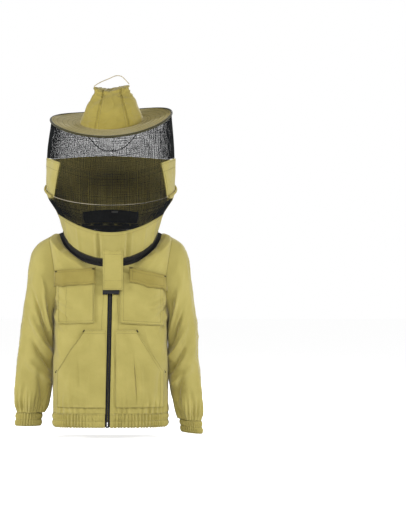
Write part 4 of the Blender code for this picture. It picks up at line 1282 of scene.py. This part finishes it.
p = rearStrip(0.0, 3.0, rearTab["half"], 0.0, 52, 40)
p = pushed(p, 0.0008 * rumple(p, 0.05, 141))
q = proudOf(p)
sewn("rearTabCloth", p, "rear_tab", ["rear_tab"], thickness=rearTab["cloth"])
stitchAlong("rear_tab", q[1:-2, 2], q[1:-2, -3], q[2, 2:-2], q[-3, 2:-2], q[-18, 2:-2], q[-19, 2:-2])
sewn("rearTabHookTape", rearStrip(2.0, 3.0, rearTab["hookHalf"], rearTab["hookIn"], 14, 26), "rear_tab",
     ["rear_tab_hook"], material=blackLoop, slot="black_fabric", thickness=rearTab["hookCloth"])
t, angle = grid(np.linspace(*rearTab["patchStops"], 8), np.linspace(*rearTab["patchTurns"], 24))
sewn("rearLoopTape", torsoPoint(angle, t) + np.array([0, 0.0016, 0.0009]), "jacket", ["rear_loop_patch"],
     material=blackLoop, slot="black_fabric", thickness=rearTab["hookCloth"])
print("tabs made")

# veil: hood cloth behind, cloth below, net in front and above
hood = {
    "lowStop": 0.24, "hoopStop": 0.47, "bandStop": 0.66, "gap": 0.004,
    "rows": 116, "columns": 330, "lowerRows": 46, "lowerColumns": 200,
    # where its edge stands at the neck, the hoop and the band, in degrees up from the front
    "edgeNeck": 88, "edgeHoop": 60, "edgeBand": 50,
    # angle at the neck and at the hoop, half width in degrees, height; the back is 90
    "pleats": [
        (60, 69, 2.4, 0.0090), (65, 75, 1.8, -0.0080), (71, 80, 2.2, 0.0085), (109, 100, 2.4, 0.0090),
        (114, 106, 1.7, -0.0080), (122, 111, 2.4, 0.0085), (138, 124, 2.6, 0.0085),
        (130, 118, 1.8, -0.0070), (42, 56, 2.6, 0.0085), (50, 62, 1.8, -0.0070), (22, 40, 2.8, 0.0065),
        (158, 140, 2.8, 0.0065), (10, 22, 2.6, -0.0046), (170, 158, 2.6, -0.0046),
        (84, 86, 2.0, -0.0040), (97, 95, 2.0, -0.0040),
    ],
    "frontPleats": [
        (-107, -106, 1.7, 0.0042), (-103, -103, 1.4, -0.0034), (-99, -100, 1.6, 0.0036),
        (-75, -75, 1.8, 0.0044), (-71, -72, 1.4, -0.0036), (-66, -68, 1.8, 0.0036),
        (-130, -128, 2.2, 0.0030), (-48, -50, 2.2, 0.0030), (-150, -148, 2.2, 0.0026),
        (-30, -32, 2.2, 0.0026),
    ],
}


def hoodEdge(s):
    neckSide, hoopSide, bandSide = hood["edgeNeck"], hood["edgeHoop"], hood["edgeBand"]
    rise = (s - hood["hoopStop"]) / (hood["bandStop"] - hood["hoopStop"])
    below = neckSide - (neckSide - hoopSide) * ease(hood["hoopStop"] - 0.09, hood["hoopStop"], s)
    return np.where(s > hood["hoopStop"], hoopSide - (hoopSide - bandSide) * rise, below)


def pleatHeight(angle, s, top, pleats):
    total = 0 * angle
    for low, high, width, height in pleats:
        middle = low + (high - low) * s / top
        total += height * np.exp(-(((angle - middle) / width) ** 2)) * (1 - ease(0.55, 1.05, s / top))
    return total


levels = np.linspace(0.004, hood["bandStop"] - hood["gap"], hood["rows"])
s, f = grid(levels, np.linspace(-1, 1, hood["columns"]))
angle = 90 + f * (180 - hoodEdge(s) - 0.5)
p = veilPoint(angle, s)
sewnIn = ease(0.0, 0.03, s) * ease(0.0, 0.02, 1 - np.abs(f))
height = pleatHeight(angle, s, hood["hoopStop"], hood["pleats"]) * sewnIn
height += 0.0020 * rumple(p, 0.08, 151) * sewnIn + 0.0009 * rumple(p, 0.035, 152) * sewnIn
height += 0.0018 * ridged(rumple(p, 0.07, 153, (1, 1, 1.7))) * sewnIn * (1 - ease(0.45, 0.6, s))
nearHoop = np.exp(-(((s - hood["hoopStop"]) / 0.035) ** 2))
height = height * (1 - nearHoop) - 0.0012 * nearHoop
hoodGrid = pushed(p, height)
sewn("hoodBackCloth", hoodGrid, "veil", ["veil_back"], thickness=veil["cloth"])
q = proudOf(hoodGrid)
stitchAlong("veil", q[-3], q[-10], q[:, 2], q[:, -3], q[2])

levels = np.linspace(0.004, hood["lowStop"] - hood["gap"], hood["lowerRows"])
s, angle = grid(levels, np.linspace(-90 - 87.4, -90 + 87.4, hood["lowerColumns"]))
p = veilPoint(angle, s)
sewnIn = ease(0.0, 0.03, s) * ease(0.0, 0.05, hood["lowStop"] - s)
height = (pleatHeight(angle, s, 0.5, hood["frontPleats"]) + 0.0012 * rumple(p, 0.05, 155)) * sewnIn
lowerGrid = pushed(p, height)
sewn("veilLowerCloth", lowerGrid, "veil", ["veil_lower_front"], thickness=veil["cloth"])
q = proudOf(lowerGrid)
stitchAlong("veil", q[-2], q[-6], q[2])

net = {"pitch": 0.0023, "thread": 0.00087, "radius": 0.195, "fold": 0.0022, "uneven": 0.24, "seed": 163}


def netPoint(angle, s):
    p = veilPoint(angle, s)
    inward = p * np.array([1.0, 1.0, 0.0])
    inward /= np.linalg.norm(inward, axis=-1, keepdims=True)
    return p - inward * (net["fold"] * (0.5 + 0.5 * rumple(p, 0.11, 161, (1, 1, 4))))[..., None]


def makeNet(name, low, high, half, node):
    lines = []
    middle = veilPoint(np.full(40, -90.0), np.linspace(low, high, 40))
    tall = np.linalg.norm(np.diff(middle, axis=0), axis=1).sum()
    step = math.degrees(net["pitch"] / net["radius"])
    levels = np.linspace(low, high, 16)
    rng = np.random.default_rng(net["seed"])
    for angle in np.arange(-180, 180 - step / 2, step):
        s = levels[half(levels) > abs(angle)]
        if len(s) > 1:
            # knitted threads wander a little from an even spacing
            stray = net["uneven"] * step * (rng.normal() + 0.6 * np.sin(s * 60 + rng.uniform(0, 6.3)))
            lines.append((netPoint(-90 + angle + stray, s), False))
    for s in np.linspace(low, high, int(tall / net["pitch"])):
        wide = float(half(np.array(s)))
        around = wide > 179
        angle = np.linspace(-wide, wide, int(2 * wide / 360 * 190) + 2)
        angle = angle[:-1] if around else angle
        stray = net["uneven"] * (high - low) / tall * net["pitch"]
        waves = rng.normal() + 0.6 * np.sin(np.radians(angle) * rng.integers(5, 12) + rng.uniform(0, 6.3))
        lines.append((netPoint(-90 + angle, np.clip(s + stray * waves, low, high)), around))
    made = makeTubes(name, lines, net["thread"] / 2, 3, netThread)
    settle(made, "veil", "net", node)
    s, f = grid(np.linspace(low, high, 30), np.linspace(-1, 1, 120))
    across, up, area = clothSize(veilPoint(-90 + f * half(s), s), False)


makeNet("netFrontThreads", hood["lowStop"], hood["bandStop"] - hood["gap"],
        lambda s: hoodEdge(s) - 0.5, "veil_net_front")
makeNet("netUpperThreads", hood["bandStop"], 0.992, lambda s: 180.0 + 0 * s, "veil_net_upper")

# the hoop is bare in front and cased behind, and a binding runs round the hat's brim
hoopRing = {"radius": 0.2030, "wire": 0.0010, "wireIn": 0.0045, "casing": 0.0038, "bareHalf": 62}
bare = np.linspace(-90 - hoopRing["bareHalf"], -90 + hoopRing["bareHalf"], 110)
wire = hoopPoint(bare, hoopRing["radius"] - hoopRing["wireIn"])
made = makeTubes("hoopWireFront", [(wire, False)], hoopRing["wire"], 8, hoopCloth)
settle(made, "veil", "hoop_casing", "veil_hoop")
cased = np.linspace(-90 + hoopRing["bareHalf"], 270 - hoopRing["bareHalf"], 220)
made = makeTubes("hoopCasingBack", [(hoopPoint(cased, hoopRing["radius"]), False)],
                 hoopRing["casing"], 12, khakiTube)
settle(made, "veil", "hoop_casing")
edge = inHat(brimLocal(np.arange(0, 360, 1.2), 0.988, -hat["board"] / 2))
made = makeTubes("brimBindingTape", [(edge, True)], hat["binding"], 10, oliveTape)
settle(made, "veil", "binding", "brim_binding")
print("veil made")

# hat
brim = {
    "rows": 66, "outer": 0.974, "rings": (0.60, 0.64, 0.72, 0.80, 0.88, 0.945),
    "wave": 0.0016, "groove": 0.0006, "grooveHalf": 0.006,
    # it reaches a little way in under the crown
    "inner": (hat["crownRadius"] - 0.008) / hat["halfWidth"],
}
f, angle = grid(np.linspace(brim["outer"], brim["inner"], brim["rows"]), np.arange(0, 360, 1.2))
local = brimLocal(angle, f)
local[..., 2] += brim["wave"] * rumple(local, 0.11, 171) * ease(0.5, 0.9, f)
for ring in brim["rings"]:
    local[..., 2] -= brim["groove"] * np.exp(-(((f - ring) / brim["grooveHalf"]) ** 2))
brimGrid = inHat(local)
sewn("hatBrimCloth", brimGrid, "veil", ["hat_brim"], material=khakiHat, thickness=hat["board"], closed=True)
for ring in brim["rings"]:
    row = int(round((brim["outer"] - ring) / (brim["outer"] - brim["inner"]) * (brim["rows"] - 1)))
    stitchAlong("veil", proudOf(brimGrid, True)[row], closed=True)

crownLook = {
    "seams": (-120, -60, 58, 122), "groove": 0.0030, "lap": 0.0018, "stitchOff": 3.6,
    "rumple": 0.0020, "crease": 0.0016, "base": 0.0030, "ridge": 0.0028,
}
t, angle = grid(np.linspace(0, 5, 100), np.arange(0, 360, 1.8))
local = crownLocal(angle, t)
local[-1, :, 1] = 0.024
up = t / 5
# the gores run straight from the base to the corners, and the ridge sags between them
pulled = crown["flare"] * np.sin(np.pi * np.clip(up * 1.12, 0, 1)) ** 1.2
c, s = cosSin(angle)
local -= pulled[..., None] * np.stack([c, 0.7 * s, 0 * c], -1)
local[..., 2] += crownLook["ridge"] * rumple(local * np.array([1, 0, 0]), 0.03, 186) * ease(0.55, 0.9, up)
height = crownLook["rumple"] * rumple(local, 0.05, 181) * ease(0.0, 0.1, 1 - up)
height += crownLook["crease"] * ridged(rumple(local, 0.04, 182, (1.5, 1.5, 0.7))) * ease(0.0, 0.2, 1 - up)
uneven = 0.4 + 0.6 * rumple(local, 0.05, 183, (1.6, 1.6, 0.6))
height += crownLook["base"] * np.exp(-(((up - 0.13) / 0.05) ** 2)) * uneven
for seam in crownLook["seams"]:
    off = (angle - seam + 180) % 360 - 180
    height -= crownLook["groove"] * np.exp(-((off / 2.0) ** 2)) * ease(0.0, 0.05, 1 - up)
    height += crownLook["lap"] * np.exp(-(((off - 5) / 3.0) ** 2)) * ease(0.0, 0.05, 1 - up)
height *= ease(0.0, 0.03, up + 0.01)
crownGrid = pushed(inHat(local), height, True)
crownGrid[-1] = inHat(local)[-1]
for seam in crownLook["seams"]:
    for shift in (-crownLook["stitchOff"], crownLook["stitchOff"]):
        stitchAlong("veil", proudOf(crownGrid, True)[2:-6, int(((seam + shift) % 360) / 1.8)])


def crownMesh():
    # the two sides meet in a sewn ridge, so the last row is welded to itself
    mesh = gridMesh("hatCrownCloth", crownGrid, True)
    bm = bmesh.new()
    bm.from_mesh(mesh)
    ridge = [v for v in bm.verts if v.index >= (crownGrid.shape[0] - 1) * crownGrid.shape[1]]
    bmesh.ops.remove_doubles(bm, verts=ridge, dist=0.0003)
    bm.to_mesh(mesh)
    bm.free()
    return mesh


made = clothPiece("hatCrownCloth", crownMesh(), crown["cloth"], khakiHat)
settle(made, "veil", "khaki_cloth", "hat_crown")
across, rise, area = clothSize(crownGrid, True)

h, angle = grid(np.linspace(-0.016, -0.0012, 12), np.arange(0, 360, 2))
c, s = cosSin(angle)
band = np.stack([hat["bandRadius"] * c, hat["bandRadius"] * s, h + hat["saddle"] * (c * 0.5) ** 2], -1)
sewn("hatSweatband", inHat(band), "veil", ["hat_sweatband"], material=oliveTape, slot="binding", closed=True)
print("hat made")


neckFacing = {"stops": (0.008, 0.165, 16), "turns": (54, 126, 90), "depth": 0.0125, "cloth": 0.0009}
blankLabel = {"stops": (0.125, 0.150, 10), "turns": (81, 89, 16), "depth": 0.0141, "cloth": 0.0005}


def insideHood(piece):
    s, angle = grid(np.linspace(*piece["stops"]), np.linspace(*piece["turns"]))
    here = veilPoint(angle, s)
    along = veilPoint(angle + 1, s) - veilPoint(angle - 1, s)
    up = veilPoint(angle, s + 0.02) - here
    n = np.cross(along, up)
    return here - n / np.linalg.norm(n, axis=-1, keepdims=True) * piece["depth"]


sewn("neckFacing", insideHood(neckFacing), "veil", ["back_neck_facing"], material=blackTape,
     slot="black_fabric", thickness=neckFacing["cloth"])
sewn("blankLabel", insideHood(blankLabel), "veil", ["size_label"], material=greyLabel,
     slot="label", thickness=blankLabel["cloth"])

# finishes on the parts that the frame brings
for name in ("zip_teeth_left", "zip_teeth_right", "front_zip_slider", "zip_bottom_box",
             "neck_slider_left", "neck_slider_right"):
    bpy.data.objects[name].material_slots[0].material = blackPlastic
bpy.data.objects["front_zip_pull"].material_slots[0].material = platedMetal

# every seam's thread
def stitchRuns(first, runs, pitch, length, radius, finish, slot):
    settings = {"Pitch": pitch, "Length": length, "Radius": radius, "Finish": finish}
    for body, lines in runs.items():
        name = first + "".join(word.capitalize() for word in body.split("_"))
        settle(linesObject(name, lines, stitchRows, settings), body, slot)


stitchRuns("seamThread", seams, seamThread["pitch"], seamThread["length"], seamThread["radius"],
           thread, "khaki_cloth")
stitchRuns("bartacks", tacks, bartack["pitch"], bartack["stitch"], bartack["radius"],
           blackThread, "black_fabric")
print("seams stitched")

# stage, lights and size
stageSet = {"floorZ": -0.034, "floorSize": 60.0, "world": 0.20, "glow": 0.80}
white = (1, 1, 1, 1)
lamps = (
    # name, place, height aimed at, size, power
    ("key", (-0.3, -3.6, 2.3), 0.5, 0.8, 55.0),
    ("sideLeft", (3.2, -1.4, 1.2), 0.4, 0.7, 56.0),
    ("sideRight", (-3.2, -1.4, 1.2), 0.4, 0.7, 62.0),
    ("back", (1.3, 3.3, 2.2), 0.5, 0.8, 85.0),
)


def makeFloor():
    half = stageSet["floorSize"] / 2
    mesh = bpy.data.meshes.new("floor")
    corners = [(-half, -half), (half, -half), (half, half), (-half, half)]
    mesh.from_pydata([(x, y, stageSet["floorZ"]) for x, y in corners], [], [(0, 1, 2, 3)])
    pale = plainMaterial("paleFloor", (0.92, 0.92, 0.92), (0.90, 0.90, 0.90), 0.9, scale=3.0)
    floor = addObject("floor", mesh, pale)
    # the floor shows as white as the backdrop, and lights the cloth only by its own bounce
    tree = pale.node_tree
    shader = tree.nodes["Principled BSDF"]
    shader.inputs["Emission Color"].default_value = white
    seen = addNode(tree, "ShaderNodeLightPath").outputs["Is Camera Ray"]
    tree.links.new(maths(tree, "MULTIPLY", seen, stageSet["glow"]), shader.inputs["Emission Strength"])


def makeWorld():
    world = bpy.data.worlds.new("studio")
    world.use_nodes = True
    # a white backdrop, with the soft light on the cloth set apart from it
    tree = world.node_tree
    soft = tree.nodes["Background"]
    soft.inputs["Strength"].default_value = stageSet["world"]
    soft.inputs["Color"].default_value = white
    backdrop = addNode(tree, "ShaderNodeBackground", {"Color": white})
    pick = addNode(tree, "ShaderNodeMixShader")
    tree.links.new(addNode(tree, "ShaderNodeLightPath").outputs["Is Camera Ray"], pick.inputs[0])
    tree.links.new(soft.outputs[0], pick.inputs[1])
    tree.links.new(backdrop.outputs[0], pick.inputs[2])
    tree.links.new(pick.outputs[0], tree.nodes["World Output"].inputs["Surface"])
    scene.world = world


makeFloor()
makeWorld()
for name, place, aimZ, size, power in lamps:
    lamp = bpy.data.lights.new(name, "AREA")
    lamp.shape = "DISK"
    lamp.size = size
    lamp.energy = power
    placed(name, lamp, place, (0.0, 0.0, aimZ))
scene.view_settings.view_transform = "Standard"
scene.view_settings.look = "None"

print("scene finished")
